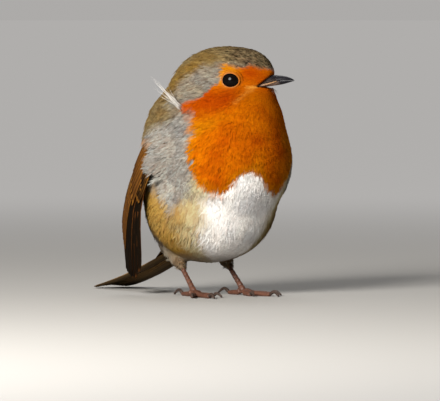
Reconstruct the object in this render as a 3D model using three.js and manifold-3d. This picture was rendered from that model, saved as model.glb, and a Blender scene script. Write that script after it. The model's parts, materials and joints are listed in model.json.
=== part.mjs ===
// A European robin standing on a flat surface: the head turned to its left, the plumage puffed out,
// the wings drooping a little and the tip of the tail touching the ground.
//
// Units are millimetres. The bird faces -Y, +X is its left side and +Z is up. Everything is first laid
// out about the point on the ground between the two feet, and the finished group is then shifted so
// that its origin is the bottom centre of its bounding box.
import * as THREE from "three";
import { mergeVertices } from "three/addons/utils/BufferGeometryUtils.js";
import Module from "manifold-3d";

const wasm = await Module();
wasm.setup();

// ---------------------------------------------------------------- driving dimensions
const GAP = 0.3; // clearance between neighbouring pieces
const MELT = 2.2; // how softly the masses of the body run into each other

const HEAD = {
  at: new THREE.Vector3(5.6, -3.0, 79.8), // the point midway between the eyes
  yaw: 42, // degrees that the head is turned to the bird's left
  pitch: 0, // degrees that the bill points above level
};
const EYE = { radius: 4.2, forward: 0.9, side: 8.0, up: 0.1 }; // in the head's own frame
const BILL = {
  root: 8.0, // how far in front of the eyes the horn starts, under the feathers
  tip: 21.9,
  width: 5.2,
  depth: 5.2,
  gape: -0.7, // height of the mouth line at its root
  droop: 0.5, // how far the tip of the upper half bends down
};

const FOOT = {
  apart: 21.7, // between the two feet
  joint: 2.1, // height of the joint where the toes meet
  splay: 8, // degrees that each foot is turned outwards
};
const THIGH = { shares: [1.1, 0.78, 0.5], radii: [5.4, 3.8, 1.7] }; // along the leg, the foot joint being 0
const SHANK = { radius: 0.95, ankle: new THREE.Vector3(-1, 18, 17) }; // ankle, seen from the foot joint
// The four toes: the angle each one points at from straight ahead, outwards being positive.
// The middle toe comes first, because the others are cut clear of it where they meet at the joint.
const TOES = [
  { name: "3", angle: 2, long: 14.5, claw: 4.8 },
  { name: "2", angle: -24, long: 9.5, claw: 4.2 },
  { name: "4", angle: 27, long: 11.0, claw: 4.2 },
  { name: "1", angle: 176, long: 8.5, claw: 6.6 },
];
// How far from the joint a toe starts, its radii, and the share of its radius that its middle stands above
// the ground, which leaves a narrow flat along its sole.
const TOE = { start: 1.8, root: 1.05, tip: 0.75, sink: 0.8 };
const CLAW_RADII = [0.6, 0.55, 0.42, 0.26];

const TAIL = {
  root: new THREE.Vector3(0, 21, 19.5),
  tip: new THREE.Vector3(0, 76, 0.85),
  feathers: 6, // on each side
  rootSpread: 3.4, // from the middle to the outermost feather's shaft
  tipSpread: 7,
  vane: [2.4, 3.4], // half width of one feather, at its root and near its tip
  thick: [1.7, 1.0],
  step: 0.35,
  sag: 1.6, // how far the middle of its length hangs below the straight line
  notch: 1.3, // how much shorter the middle and outer feathers are
};

// The closed wings. Each station is a point on the middle of the outer face, from the bend to the tip.
// The right wing hangs a little open and low, and the left one is tucked in over the root of the tail.
const WINGS = {
  right: [
    new THREE.Vector3(-16.5, -3.0, 66.0),
    new THREE.Vector3(-25.2, 5.5, 54.0),
    new THREE.Vector3(-28.9, 13.8, 39.5),
    new THREE.Vector3(-27.0, 21.4, 23.5),
    new THREE.Vector3(-22.6, 26.4, 7.0),
  ],
  left: [
    new THREE.Vector3(16.0, -4.0, 65.5),
    new THREE.Vector3(25.2, 4.5, 54.0),
    new THREE.Vector3(26.8, 14.5, 41.0),
    new THREE.Vector3(21.2, 26.0, 28.5),
    new THREE.Vector3(13.0, 37.0, 18.0),
  ],
};
const WING_TIP_THICK = 1.0;

// The masses of the body, each an ellipsoid: centre and half sizes.
const TRUNK_MASSES = {
  breast: { at: [0.3, -6.5, 50], size: [24.7, 21.6, 23.5] },
  back: { at: [-0.5, 10.4, 53.5], size: [23.6, 20, 24.5] },
  belly: { at: [-0.6, 4, 33.2], size: [25.4, 23, 21.2] },
  loins: { at: [-0.3, 11, 43], size: [24, 18, 15] },
  rump: { at: [0, 18, 31], size: [17.5, 14.5, 18] },
  throat: { at: [3.9, -6.7, 66.4], size: [16.8, 15, 10.8] },
  mantle: { at: [-1.3, 8.2, 65.0], size: [20, 16.6, 14.0] },
};
// The masses of the head, in its own frame: forward, to its left, up, from between the eyes.
const HEAD_MASSES = {
  skull: { at: [-4.4, 0, 1.5], size: [14.4, 10.0, 11.2] },
  brow: { at: [5.4, 0, 2.6], size: [8.7, 5.2, 8.2] },
  face: { at: [6.9, 0, -1.6], size: [6.7, 3.8, 5.6] },
  cheeks: { at: [-2.6, 0, -7.2], size: [12, 9.6, 5.8] },
  nape: { at: [-14, 0, -3.5], size: [10, 10.5, 11.5] },
};

// ---------------------------------------------------------------- small helpers
const radians = THREE.MathUtils.degToRad;
const mix = THREE.MathUtils.lerp;

function solidOf(geometry) {
  const bare = geometry.index ? geometry.toNonIndexed() : geometry.clone();
  const onlyPlaces = new THREE.BufferGeometry().setAttribute("position", bare.getAttribute("position"));
  const merged = mergeVertices(onlyPlaces, 1e-4);
  return new wasm.Manifold(
    new wasm.Mesh({
      numProp: 3,
      vertProperties: merged.attributes.position.array,
      triVerts: new Uint32Array(merged.index.array),
    }),
  );
}

function geometryOf(solid) {
  const mesh = solid.getMesh();
  const places = new Float32Array(mesh.numVert * 3);
  for (let i = 0; i < mesh.numVert; i++) {
    places.set(mesh.vertProperties.subarray(i * mesh.numProp, i * mesh.numProp + 3), i * 3);
  }
  const geometry = new THREE.BufferGeometry();
  geometry.setAttribute("position", new THREE.BufferAttribute(places, 3));
  geometry.setIndex(new THREE.BufferAttribute(mesh.triVerts, 1));
  geometry.computeVertexNormals();
  return geometry;
}

// A boolean cut can leave crumbs: the largest piece is the part.
function largest(solid) {
  return solid.decompose().reduce((a, b) => (a.volume() > b.volume() ? a : b));
}

// A closed skin over rings of equal length, ended by a point at each end.
function loft(rings) {
  const first = rings[0].reduce((sum, p) => sum.add(p), new THREE.Vector3()).divideScalar(rings[0].length);
  const end = rings.at(-1).reduce((sum, p) => sum.add(p), new THREE.Vector3()).divideScalar(rings[0].length);
  const around = rings[0].length;
  const places = [first, ...rings.flat(), end];
  const faces = [];
  for (let j = 0; j < around; j++) {
    const next = (j + 1) % around;
    faces.push(0, 1 + next, 1 + j);
    for (let i = 0; i + 1 < rings.length; i++) {
      const a = 1 + i * around;
      const b = a + around;
      faces.push(a + j, a + next, b + next, a + j, b + next, b + j);
    }
    const last = 1 + (rings.length - 1) * around;
    faces.push(last + j, last + next, places.length - 1);
  }
  const geometry = new THREE.BufferGeometry().setFromPoints(places);
  geometry.setIndex(faces);
  const solid = solidOf(geometry);
  if (solid.volume() > 0) return solid;
  geometry.setIndex(faces.reverse());
  return solidOf(geometry);
}

// A big block whose one face is the plane through `point` square to `normal`, lying on the normal's side.
function blockBeyond(point, normal, depth = 300) {
  const box = new THREE.BoxGeometry(400, 400, depth).translate(0, 0, depth / 2);
  const up = new THREE.Vector3(0, 0, 1);
  const turn = new THREE.Quaternion().setFromUnitVectors(up, normal.clone().normalize());
  return solidOf(box.applyQuaternion(turn).translate(point.x, point.y, point.z));
}

// ---------------------------------------------------------------- the body as one soft shape
const headTurn = new THREE.Quaternion().setFromEuler(
  new THREE.Euler(radians(HEAD.pitch), 0, radians(HEAD.yaw), "ZXY"),
);

// A point of the head's own frame (forward, to its left, up) in the bird's frame.
function inHead(forward, left, up) {
  return new THREE.Vector3(left, -forward, up).applyQuaternion(headTurn).add(HEAD.at);
}

const masses = [
  ...Object.values(TRUNK_MASSES).map(({ at, size }) => ({
    centre: new THREE.Vector3(...at),
    size: new THREE.Vector3(...size),
    turn: new THREE.Quaternion(),
  })),
  ...Object.values(HEAD_MASSES).map(({ at, size }) => ({
    centre: inHead(...at),
    size: new THREE.Vector3(size[1], size[0], size[2]),
    turn: headTurn.clone().invert(),
  })),
];

// About how far a point lies outside the body, in millimetres: negative inside.
function outside(point) {
  let sum = 0;
  for (const { centre, size, turn } of masses) {
    const local = point.clone().sub(centre).applyQuaternion(turn).divide(size);
    const k0 = local.length();
    const k1 = local.divide(size).length();
    const distance = k1 > 1e-9 ? (k0 * (k0 - 1)) / k1 : -Math.min(size.x, size.y, size.z);
    sum += Math.exp(-distance / MELT);
  }
  return -MELT * Math.log(sum);
}

// The body's surface, `grow` millimetres out, as a ball drawn out from `origin` until it meets the surface.
function bodyAround(origin, detail, grow = 0) {
  const loose = new THREE.IcosahedronGeometry(1, detail).deleteAttribute("normal").deleteAttribute("uv");
  const ball = mergeVertices(loose);
  const places = ball.getAttribute("position");
  const ray = new THREE.Vector3();
  const at = (t) => outside(origin.clone().addScaledVector(ray, t)) - grow;
  for (let i = 0; i < places.count; i++) {
    ray.fromBufferAttribute(places, i).normalize();
    let near = 0;
    let far = 2;
    while (at(far) < 0) {
      near = far;
      far += 2;
    }
    for (let step = 0; step < 18; step++) {
      const middle = (near + far) / 2;
      if (at(middle) < 0) near = middle;
      else far = middle;
    }
    const found = origin.clone().addScaledVector(ray, far);
    places.setXYZ(i, found.x, found.y, found.z);
  }
  return solidOf(ball);
}

const trunkHeart = new THREE.Vector3(0, 3, 45);
const headHeart = inHead(-3, 0, -2);
const bodyFromTrunk = bodyAround(trunkHeart, 9);
const bodyFromHead = bodyAround(headHeart, 10);
const clearOfBody = bodyAround(trunkHeart, 9, GAP);
const clearOfHead = bodyAround(headHeart, 10, GAP);

// ---------------------------------------------------------------- head, neck and trunk, parted by thin cuts
const neckTop = { point: inHead(0, 0, -6.9), normal: inHead(-0.157, 0, 1).sub(HEAD.at).normalize() };
const neckFoot = { point: new THREE.Vector3(0, 0, 61.5), normal: new THREE.Vector3(0, -0.16, 1).normalize() };

function shifted(plane, by) {
  return plane.point.clone().addScaledVector(plane.normal, by);
}

const eyes = {};
const eyeSockets = {};
for (const [side, sign] of [["right", -1], ["left", 1]]) {
  const centre = inHead(EYE.forward, sign * EYE.side, EYE.up);
  const ball = (radius, around, down) =>
    solidOf(new THREE.SphereGeometry(radius, around, down).translate(centre.x, centre.y, centre.z));
  eyes[side] = ball(EYE.radius, 14, 9);
  eyeSockets[side] = ball(EYE.radius + GAP, 12, 8);
}

// The bill: two tapering halves that meet along the mouth line.
function billRing(forward, upper) {
  const t = (forward - BILL.root) / (BILL.tip - BILL.root);
  const halfWidth = (BILL.width / 2) * Math.pow(1 - t, 0.6) + 0.12;
  const rise = (BILL.depth / 2) * Math.pow(1 - t, 0.45) + 0.12;
  const mouth = BILL.gape + 1.1 * t - BILL.droop * t * t * t;
  const points = 7;
  const ring = [];
  for (let i = 0; i < points; i++) {
    const a = (Math.PI * i) / (points - 1);
    const across = Math.cos(a) * halfWidth;
    const up = Math.sin(a) * (upper ? rise : 0.86 * rise);
    ring.push(inHead(forward, across, upper ? mouth + GAP / 2 + up : mouth - GAP / 2 - up));
  }
  return ring;
}

function billHalf(upper) {
  const rings = [];
  const steps = 7;
  const tip = upper ? BILL.tip : BILL.tip - 0.7;
  for (let i = 0; i <= steps; i++) {
    const t = i / steps;
    rings.push(billRing(mix(BILL.root, tip, 1 - (1 - t) * (1 - t) * 0.35 - (1 - t) * 0.65), upper));
  }
  return loft(rings);
}

const billUpper = billHalf(true);
const billLower = billHalf(false);

const headPiece = largest(
  bodyFromHead
    .intersect(blockBeyond(shifted(neckTop, GAP / 2), neckTop.normal))
    .subtract(eyeSockets.right)
    .subtract(eyeSockets.left),
);
const neckPiece = largest(
  bodyFromHead
    .subtract(blockBeyond(shifted(neckTop, -GAP / 2), neckTop.normal))
    .intersect(blockBeyond(shifted(neckFoot, GAP / 2), neckFoot.normal))
    .subtract(eyeSockets.right)
    .subtract(eyeSockets.left),
);
const trunkPiece = largest(bodyFromTrunk.subtract(blockBeyond(shifted(neckFoot, -GAP / 2), neckFoot.normal)));

// ---------------------------------------------------------------- wings
// The outward direction of the body's surface, for a face that lies along it.
function outwards(point) {
  const step = 0.4;
  const slope = (axis) => {
    const d = new THREE.Vector3().setComponent(axis, step);
    return outside(point.clone().add(d)) - outside(point.clone().sub(d));
  };
  return new THREE.Vector3(slope(0), slope(1), slope(2)).normalize();
}

// The wing at a share of its length: the middle of its outer face, outwards, and across towards the back.
function wingFrame(line, sign, share) {
  const middle = line.getPointAt(share);
  const along = line.getTangentAt(share);
  const lateral = new THREE.Vector3(sign, 0.18, 0).normalize();
  const out = outwards(middle).lerp(lateral, THREE.MathUtils.smoothstep(share, 0.35, 0.75));
  out.addScaledVector(along, -out.dot(along)).normalize();
  const across = new THREE.Vector3().crossVectors(along, out).multiplyScalar(-sign).normalize();
  return { middle, out, across };
}

// Each layer of closed vanes is a leaf: where it starts and ends as shares of the wing's length, how far
// behind the middle line it runs at its root and tip, its width, how deep it lies, and how round it is.
const WING_LEAVES = [
  { from: 0.04, to: 0.56, side: 1.0, tipSide: 4.0, width: 21, lift: -0.9, thick: 3.2, camber: 23 },
  { from: 0.12, to: 0.82, side: 4.5, tipSide: 6.5, width: 18, lift: -0.8, thick: 2.4, camber: 23 },
  { from: 0.14, to: 0.92, side: 0.0, tipSide: 2.5, width: 15, lift: -1.1, thick: 2.2, camber: 25 },
  { from: 0.16, to: 1.0, side: -4.0, tipSide: -0.8, width: 16, lift: -1.4, thick: 1.9, camber: 28 },
];

function wingLeaf(line, sign, { from, to, side, tipSide, width, lift, thick, camber }) {
  const rings = [];
  const steps = 7;
  for (let i = 0; i <= steps; i++) {
    const t = 1 - Math.pow(1 - i / steps, 1.4);
    const { middle, out, across } = wingFrame(line, sign, mix(from, to, t));
    const swell = Math.pow(Math.sin(Math.PI * Math.min(1, 0.16 + 0.84 * t)), 0.34);
    const half = (width / 2) * Math.max(0.12, swell);
    const deep = mix(thick, WING_TIP_THICK, t) / 2;
    const ring = [];
    for (const [v, face] of [[-1, 0], [-0.4, 1], [0.4, 1], [1, 0], [0.4, -1], [-0.4, -1]]) {
      const w = mix(side, tipSide, t) + v * half;
      const bend = (w * w) / (2 * camber);
      ring.push(middle.clone().addScaledVector(across, w).addScaledVector(out, lift - bend + face * deep));
    }
    rings.push(ring);
  }
  return loft(rings);
}

function wingPiece(side, sign) {
  const line = new THREE.CatmullRomCurve3(WINGS[side], false, "centripetal");
  const whole = WING_LEAVES.map((leaf) => wingLeaf(line, sign, leaf)).reduce((a, b) => a.add(b));
  return largest(whole.subtract(clearOfBody));
}

// ---------------------------------------------------------------- tail
function tailLeaf(index, sign) {
  const share = (index + 0.5) / TAIL.feathers; // 0 at the middle of the tail, 1 at its edge
  const layer = index * TAIL.step; // each feather lies a little under the one nearer the middle
  const root = TAIL.root.clone().add(new THREE.Vector3(sign * share * TAIL.rootSpread, 0, -layer));
  const short = TAIL.notch * Math.abs(2 * share - 1);
  const tip = TAIL.tip.clone().add(new THREE.Vector3(sign * share * TAIL.tipSpread, -short, -layer / 3));
  const rings = [];
  const steps = 3;
  for (let i = 0; i <= steps; i++) {
    const t = i / steps;
    const middle = root.clone().lerp(tip, t);
    middle.z -= TAIL.sag * Math.sin(Math.PI * t);
    const swell = Math.pow(Math.max(0.05, Math.sin(Math.PI * Math.min(1, 0.3 + 0.7 * t))), 0.35);
    const half = mix(TAIL.vane[0], TAIL.vane[1], t) * swell;
    const deep = mix(TAIL.thick[0], TAIL.thick[1], t) / 2;
    const ring = [];
    for (const [across, up] of [[-1, -0.45], [0, -1], [1, -0.45], [1, 0.45], [0, 1], [-1, 0.45]]) {
      ring.push(middle.clone().add(new THREE.Vector3(across * half, 0, up * deep)));
    }
    rings.push(ring);
  }
  return loft(rings);
}

const ground = blockBeyond(new THREE.Vector3(0, 0, 0), new THREE.Vector3(0, 0, -1), 20);

function tailPiece() {
  const leaves = [];
  for (const sign of [-1, 1]) {
    for (let i = 0; i < TAIL.feathers; i++) leaves.push(tailLeaf(i, sign));
  }
  const whole = leaves.reduce((a, b) => a.add(b));
  return largest(whole.subtract(clearOfBody).subtract(ground));
}

// ---------------------------------------------------------------- legs and feet
// A round limb through points with a radius at each.
function limb(points, radii, around = 6) {
  const line = new THREE.CatmullRomCurve3(points, false, "centripetal");
  const rings = [];
  const steps = points.length + 1;
  for (let i = 0; i <= steps; i++) {
    const t = i / steps;
    const at = t * (radii.length - 1);
    const k = Math.min(radii.length - 2, Math.floor(at));
    const radius = mix(radii[k], radii[k + 1], at - k);
    const middle = line.getPoint(t);
    const along = line.getTangent(t);
    const side = new THREE.Vector3().crossVectors(along, new THREE.Vector3(0.02, 0.01, 1)).normalize();
    const up = new THREE.Vector3().crossVectors(side, along).normalize();
    const ring = [];
    for (let j = 0; j < around; j++) {
      const a = (2 * Math.PI * j) / around;
      ring.push(
        middle
          .clone()
          .addScaledVector(side, Math.cos(a) * radius)
          .addScaledVector(up, Math.sin(a) * radius),
      );
    }
    rings.push(ring);
  }
  return loft(rings);
}

const pieces = {
  head: headPiece,
  neck: neckPiece,
  trunk: trunkPiece,
  wing_right: wingPiece("right", -1),
  wing_left: wingPiece("left", 1),
  tail: tailPiece(),
  bill_upper: largest(billUpper.subtract(clearOfHead)),
  bill_lower: largest(billLower.subtract(clearOfHead)),
  eye_right: eyes.right,
  eye_left: eyes.left,
};

const grown = (radii) => radii.map((radius) => radius + GAP);

for (const [side, sign] of [["right", -1], ["left", 1]]) {
  const joint = new THREE.Vector3((sign * FOOT.apart) / 2, 0, FOOT.joint);
  const ankle = joint.clone().add(new THREE.Vector3(sign * SHANK.ankle.x, SHANK.ankle.y, SHANK.ankle.z));
  const upLeg = (share) => joint.clone().lerp(ankle, share);

  // The feathered thigh comes out of the belly and ends a little way down the shank.
  const thighPoints = THIGH.shares.map(upLeg);
  const shankGap = GAP / ankle.distanceTo(joint);
  const below = upLeg(THIGH.shares.at(-1) - shankGap);
  const thighRoom = limb([...thighPoints.slice(0, -1), below], grown(THIGH.radii), 9);
  const shinPoints = [0, 0.25, 0.7, 1].map(upLeg);
  const shinRadii = [1.25, 1, 1, 1.35].map((share) => share * SHANK.radius);
  pieces["thigh_" + side] = largest(limb(thighPoints, THIGH.radii, 9).subtract(clearOfBody));
  pieces["shank_" + side] = largest(limb(shinPoints, shinRadii).subtract(thighRoom).subtract(clearOfBody));

  const taken = [limb(shinPoints, grown(shinRadii))];
  for (const toe of TOES) {
    const heading = radians(toe.angle + FOOT.splay) * sign;
    const ahead = new THREE.Vector3(Math.sin(heading), -Math.cos(heading), 0);
    const place = (distance, up) => joint.clone().addScaledVector(ahead, distance).setZ(up);
    const knuckles = [
      place(TOE.start, FOOT.joint - 0.4),
      place(toe.long * 0.35, TOE.root * TOE.sink),
      place(toe.long * 0.7, TOE.root * TOE.sink * 0.92),
      place(toe.long, TOE.tip * TOE.sink),
    ];
    const radii = [TOE.root, TOE.root, TOE.root * 0.9, TOE.tip];
    const digit = taken.reduce((solid, other) => solid.subtract(other), limb(knuckles, radii));
    const arch = toe.claw * 0.3; // how high the claw arches off the ground
    const hook = [
      place(toe.long + GAP, TOE.tip * 1.15),
      place(toe.long + toe.claw * 0.4, TOE.tip + arch * 0.75),
      place(toe.long + toe.claw * 0.78, TOE.tip * 0.9 + arch * 0.3),
      place(toe.long + toe.claw, 0.3),
    ];
    pieces["toe_" + side + "_" + toe.name] = largest(digit.subtract(ground));
    pieces["claw_" + side + "_" + toe.name] = largest(limb(hook, CLAW_RADII, 5).subtract(ground));
    taken.push(limb(knuckles, grown(radii)));
  }
}

// ---------------------------------------------------------------- the group
const COLOURS = {
  head: 0xc8701e,
  neck: 0xd2691e,
  trunk: 0xd8d2c4,
  wing: 0x6b5433,
  tail: 0x6e5a3c,
  bill: 0x2b2a2c,
  eye: 0x0c0a0a,
  thigh: 0xa9a08c,
  shank: 0x6f3f2f,
  toe: 0x6a3a2c,
  claw: 0x3a2622,
};
const ROUGHNESS = { eye: 0.08, bill: 0.4, claw: 0.4 };
const robin = new THREE.Group();
for (const [name, solid] of Object.entries(pieces)) {
  const family = name.split("_")[0];
  const roughness = ROUGHNESS[family] ?? 0.85;
  const material = new THREE.MeshStandardMaterial({ color: COLOURS[family], roughness, metalness: 0 });
  const mesh = new THREE.Mesh(geometryOf(solid), material);
  mesh.name = name;
  robin.add(mesh);
}
const extent = new THREE.Box3().setFromObject(robin);
const middle = extent.getCenter(new THREE.Vector3());
robin.position.set(-middle.x, -middle.y, -extent.min.z);

export default robin;
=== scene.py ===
# %% [markdown]
# # A European robin, feather by feather
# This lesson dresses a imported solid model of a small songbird. The solids give the true outline, out to the
# tips of the feathers. Blender adds what the eye looks for: a soft coat of thousands of small feathers over
# one seamless skin, long wing and tail feathers with shafts, a horn bill, wet eyes and scaly feet.

# %% Load the frame
import json
import math

import bmesh
import bpy
import numpy as np
from mathutils import Matrix, Vector

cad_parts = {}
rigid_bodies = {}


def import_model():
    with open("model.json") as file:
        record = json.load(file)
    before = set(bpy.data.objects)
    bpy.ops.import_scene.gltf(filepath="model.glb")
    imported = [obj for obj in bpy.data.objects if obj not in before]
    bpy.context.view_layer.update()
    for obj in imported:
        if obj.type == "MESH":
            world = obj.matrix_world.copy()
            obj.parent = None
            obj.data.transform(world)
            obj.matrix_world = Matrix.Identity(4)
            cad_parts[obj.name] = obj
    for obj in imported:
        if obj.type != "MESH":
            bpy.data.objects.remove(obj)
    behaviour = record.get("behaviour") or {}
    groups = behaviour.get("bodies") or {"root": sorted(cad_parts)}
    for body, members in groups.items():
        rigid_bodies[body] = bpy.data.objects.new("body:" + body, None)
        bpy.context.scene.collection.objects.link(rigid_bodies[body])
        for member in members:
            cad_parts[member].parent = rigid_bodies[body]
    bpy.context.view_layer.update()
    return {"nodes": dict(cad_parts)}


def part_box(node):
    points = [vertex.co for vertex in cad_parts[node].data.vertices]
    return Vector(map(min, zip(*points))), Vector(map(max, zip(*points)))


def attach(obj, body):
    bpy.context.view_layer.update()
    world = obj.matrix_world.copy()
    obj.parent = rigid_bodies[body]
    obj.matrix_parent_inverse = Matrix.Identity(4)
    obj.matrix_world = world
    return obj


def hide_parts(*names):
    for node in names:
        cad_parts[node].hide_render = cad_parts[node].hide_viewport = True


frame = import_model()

print("the frame has", len(frame["nodes"]), "nodes")

# %% [markdown]
# ## Where things are
# A bird maker measures in millimetres from the spot on the ground between the two feet. The bird faces -Y,
# its left side is +X, and +Z is up. The eyeballs are exact landmarks of the frame, so that spot is worked
# out from them, and the line through both eyes also says which way the head is turned.

# %% Millimetres, the ground point and the head's own axes
MM = 0.001
BETWEEN_EYES = np.array([6.20, -3.67, 79.9])  # the point between the eyes, in mm from the ground point

eyeballs = {side: sum(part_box("eye_" + side), Vector()) / 2 for side in ("right", "left")}
GROUND = np.array((eyeballs["right"] + eyeballs["left"]) / 2) - BETWEEN_EYES * MM
LEFTWARD = np.array((eyeballs["left"] - eyeballs["right"]).normalized())
FORWARD = np.cross(LEFTWARD, (0, 0, 1))
HEAD_YAW = math.atan2(FORWARD[0], -FORWARD[1])
# The frame's eyeball is faceted, so half its height is a little less than its true radius.
EYE_RADIUS = (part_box("eye_right")[1].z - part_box("eye_right")[0].z) / 2 / MM


def to_metres(points):
    return np.asarray(points, float) * MM + GROUND


def to_mm(points):
    return (np.asarray(points, float) - GROUND) / MM


def in_head(points):
    """Millimetres forward, to the left and up from the point between the eyes."""
    d = np.asarray(points, float) - BETWEEN_EYES
    return np.stack([d @ FORWARD, d @ LEFTWARD, d[..., 2]], -1)


def from_head(points):
    p = np.asarray(points, float)
    return BETWEEN_EYES + p[..., :1] * FORWARD + p[..., 1:2] * LEFTWARD + p[..., 2:] * np.array([0, 0, 1])


print("the head is turned", round(math.degrees(HEAD_YAW)), "degrees to its left; eyeball radius", EYE_RADIUS)

# %% [markdown]
# ## Camera and light
# A long lens from a few metres away flattens the view as a birdwatcher's lens does. Three soft lamps light
# the bird: a strong key from the camera's left and above, as the sun would, a weak fill and a top light.

# %% Camera
PICTURE = (440, 401)  # pixels
PIXELS_PER_MM = 2.7
GROUND_PIXEL = (218.5, 296)  # where the ground point shows, from the picture's left and top
VIEW_TURN = math.radians(33)  # the camera stands on the bird's right front
VIEW_RISE = math.radians(2.2)
VIEW_DISTANCE = 2600.0  # mm
SENSOR = 36.0  # mm
CENTRE_ACROSS = (PICTURE[0] / 2 - GROUND_PIXEL[0]) / PIXELS_PER_MM
CENTRE_HEIGHT = (GROUND_PIXEL[1] - PICTURE[1] / 2) / PIXELS_PER_MM

across = np.array([math.cos(VIEW_TURN), -math.sin(VIEW_TURN), 0])
towards = np.array([
    -math.sin(VIEW_TURN) * math.cos(VIEW_RISE),
    -math.cos(VIEW_TURN) * math.cos(VIEW_RISE),
    math.sin(VIEW_RISE),
])
aim = across * CENTRE_ACROSS + np.array([0, 0, CENTRE_HEIGHT])


def point_at(thing, place, target):
    thing.location = place
    thing.rotation_euler = (Vector(target) - Vector(place)).to_track_quat("-Z", "Y").to_euler()


def put(name, data, material=None):
    """An object in the scene, at the origin, with its material."""
    thing = bpy.data.objects.new(name, data)
    scene.collection.objects.link(thing)
    if material:
        data.materials.append(material)
    return thing


scene = bpy.context.scene
lens = bpy.data.cameras.new("camera")
lens.sensor_width = SENSOR
lens.lens = SENSOR * VIEW_DISTANCE / (PICTURE[0] / PIXELS_PER_MM)
lens.clip_start, lens.clip_end = 0.05, 50.0
camera = put("camera", lens)
point_at(camera, to_metres(aim + towards * VIEW_DISTANCE), to_metres(aim))
scene.camera = camera
print("lens", round(lens.lens), "mm")

# %% Lamps and sky
LIT_SPOT = (0, 0, 45)  # mm, the middle of the bird
scene.view_settings.view_transform = "Standard"


def lamp(name, place, size, power, tint):
    """A round lamp aimed at the bird: its place in mm, its width in metres and its power in watts."""
    light = bpy.data.lights.new(name, "AREA")
    light.shape = "DISK"
    light.size = size
    light.energy = power
    light.color = tint
    point_at(put(name, light), to_metres(place), to_metres(LIT_SPOT))


UPWARD = np.array([0, 0, 1.0])
lamp("key", 700 * (-0.50 * across + 0.94 * towards + 0.46 * UPWARD), 0.34, 16.0, (1.0, 0.97, 0.92))
lamp("fill", 900 * (0.9 * across + 0.5 * towards + 0.25 * UPWARD), 0.7, 0.2, (0.86, 0.93, 1.0))
lamp("top", 800 * (UPWARD - 0.55 * towards), 0.6, 2.6, (1.0, 1.0, 1.0))

sky = bpy.data.worlds.new("sky")
scene.world = sky
sky.use_nodes = True
seen = sky.node_tree.nodes["Background"]
SKY_TINT = (0.80, 0.78, 0.76)
SKY_GIVES, SKY_SHOWS = 0.24, 0.52  # how bright the sky is for the bird, and for the camera
seen.inputs["Color"].default_value = (*SKY_TINT, 1)
path = sky.node_tree.nodes.new("ShaderNodeLightPath")
strength = sky.node_tree.nodes.new("ShaderNodeMapRange")
strength.inputs["To Min"].default_value = SKY_GIVES
strength.inputs["To Max"].default_value = SKY_SHOWS
sky.node_tree.links.new(path.outputs["Is Camera Ray"], strength.inputs["Value"])
sky.node_tree.links.new(strength.outputs["Result"], seen.inputs["Strength"])
print("three lamps and a pale sky")

# %% [markdown]
# ## Writing node trees as sums
# Materials and feather growing both use node trees. A small wrapper lets a tree be written as an ordinary
# expression: adding two wires adds a Math node, and every other kind of node comes from one method.


# %% Wires and boards
class Wire:
    """An output of a node. Written in a sum, it adds Math nodes to its board."""

    def __init__(self, board, socket):
        self.board = board
        self.socket = socket

    def maths(self, operation, *values):
        return self.board.add("ShaderNodeMath", {"operation": operation}, dict(enumerate(values)))

    def __add__(self, other):
        return self.maths("ADD", self, other)

    def __radd__(self, other):
        return self.maths("ADD", other, self)

    def __sub__(self, other):
        return self.maths("SUBTRACT", self, other)

    def __rsub__(self, other):
        return self.maths("SUBTRACT", other, self)

    def __mul__(self, other):
        return self.maths("MULTIPLY", self, other)

    def __rmul__(self, other):
        return self.maths("MULTIPLY", other, self)

    def __truediv__(self, other):
        return self.maths("DIVIDE", self, other)

    def __pow__(self, other):
        return self.maths("POWER", self, other)


class Board:
    """A node tree that is built by short calls. Each of them gives back the wire it ends in."""

    def __init__(self, tree):
        self.tree = tree

    def add(self, kind, settings=None, inputs=None, out=0):
        node = self.tree.nodes.new(kind)
        for name, value in (settings or {}).items():
            setattr(node, name, value)
        for key, value in (inputs or {}).items():
            self.feed(node.inputs[key], value)
        return Wire(self, node.outputs[out])

    def feed(self, socket, value):
        """Joins a wire to a socket, or sets the socket to a plain value."""
        if isinstance(value, Wire):
            self.tree.links.new(value.socket, socket)
        else:
            socket.default_value = value

    def vector(self, operation, *values):
        return self.add("ShaderNodeVectorMath", {"operation": operation}, dict(enumerate(values)))

    def scaled(self, colour, amount):
        """A colour or direction times a number."""
        return self.add("ShaderNodeVectorMath", {"operation": "SCALE"}, {0: colour, "Scale": amount})

    def blend(self, share, first, second):
        """A mix of two colours; share 0 is all the first."""
        settings = {"data_type": "RGBA", "clamp_factor": True}
        return self.add("ShaderNodeMix", settings, {0: share, 6: first, 7: second}, out=2)

    def attribute(self, name, out):
        """A map of the mesh: output 0 is its colour, 1 its vector, 2 its number, 3 its alpha."""
        return self.add("ShaderNodeAttribute", {"attribute_name": name}, out=out)

    def split(self, vector):
        """The three numbers of a vector."""
        x = self.add("ShaderNodeSeparateXYZ", {}, {0: vector})
        return [Wire(self, socket) for socket in x.socket.node.outputs]

    def ramp(self, low, high, value):
        """A soft step from 0 at low to 1 at high."""
        return self.add("ShaderNodeMapRange", {"interpolation_type": "SMOOTHSTEP"},
                        {"Value": value, "From Min": low, "From Max": high})


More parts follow.
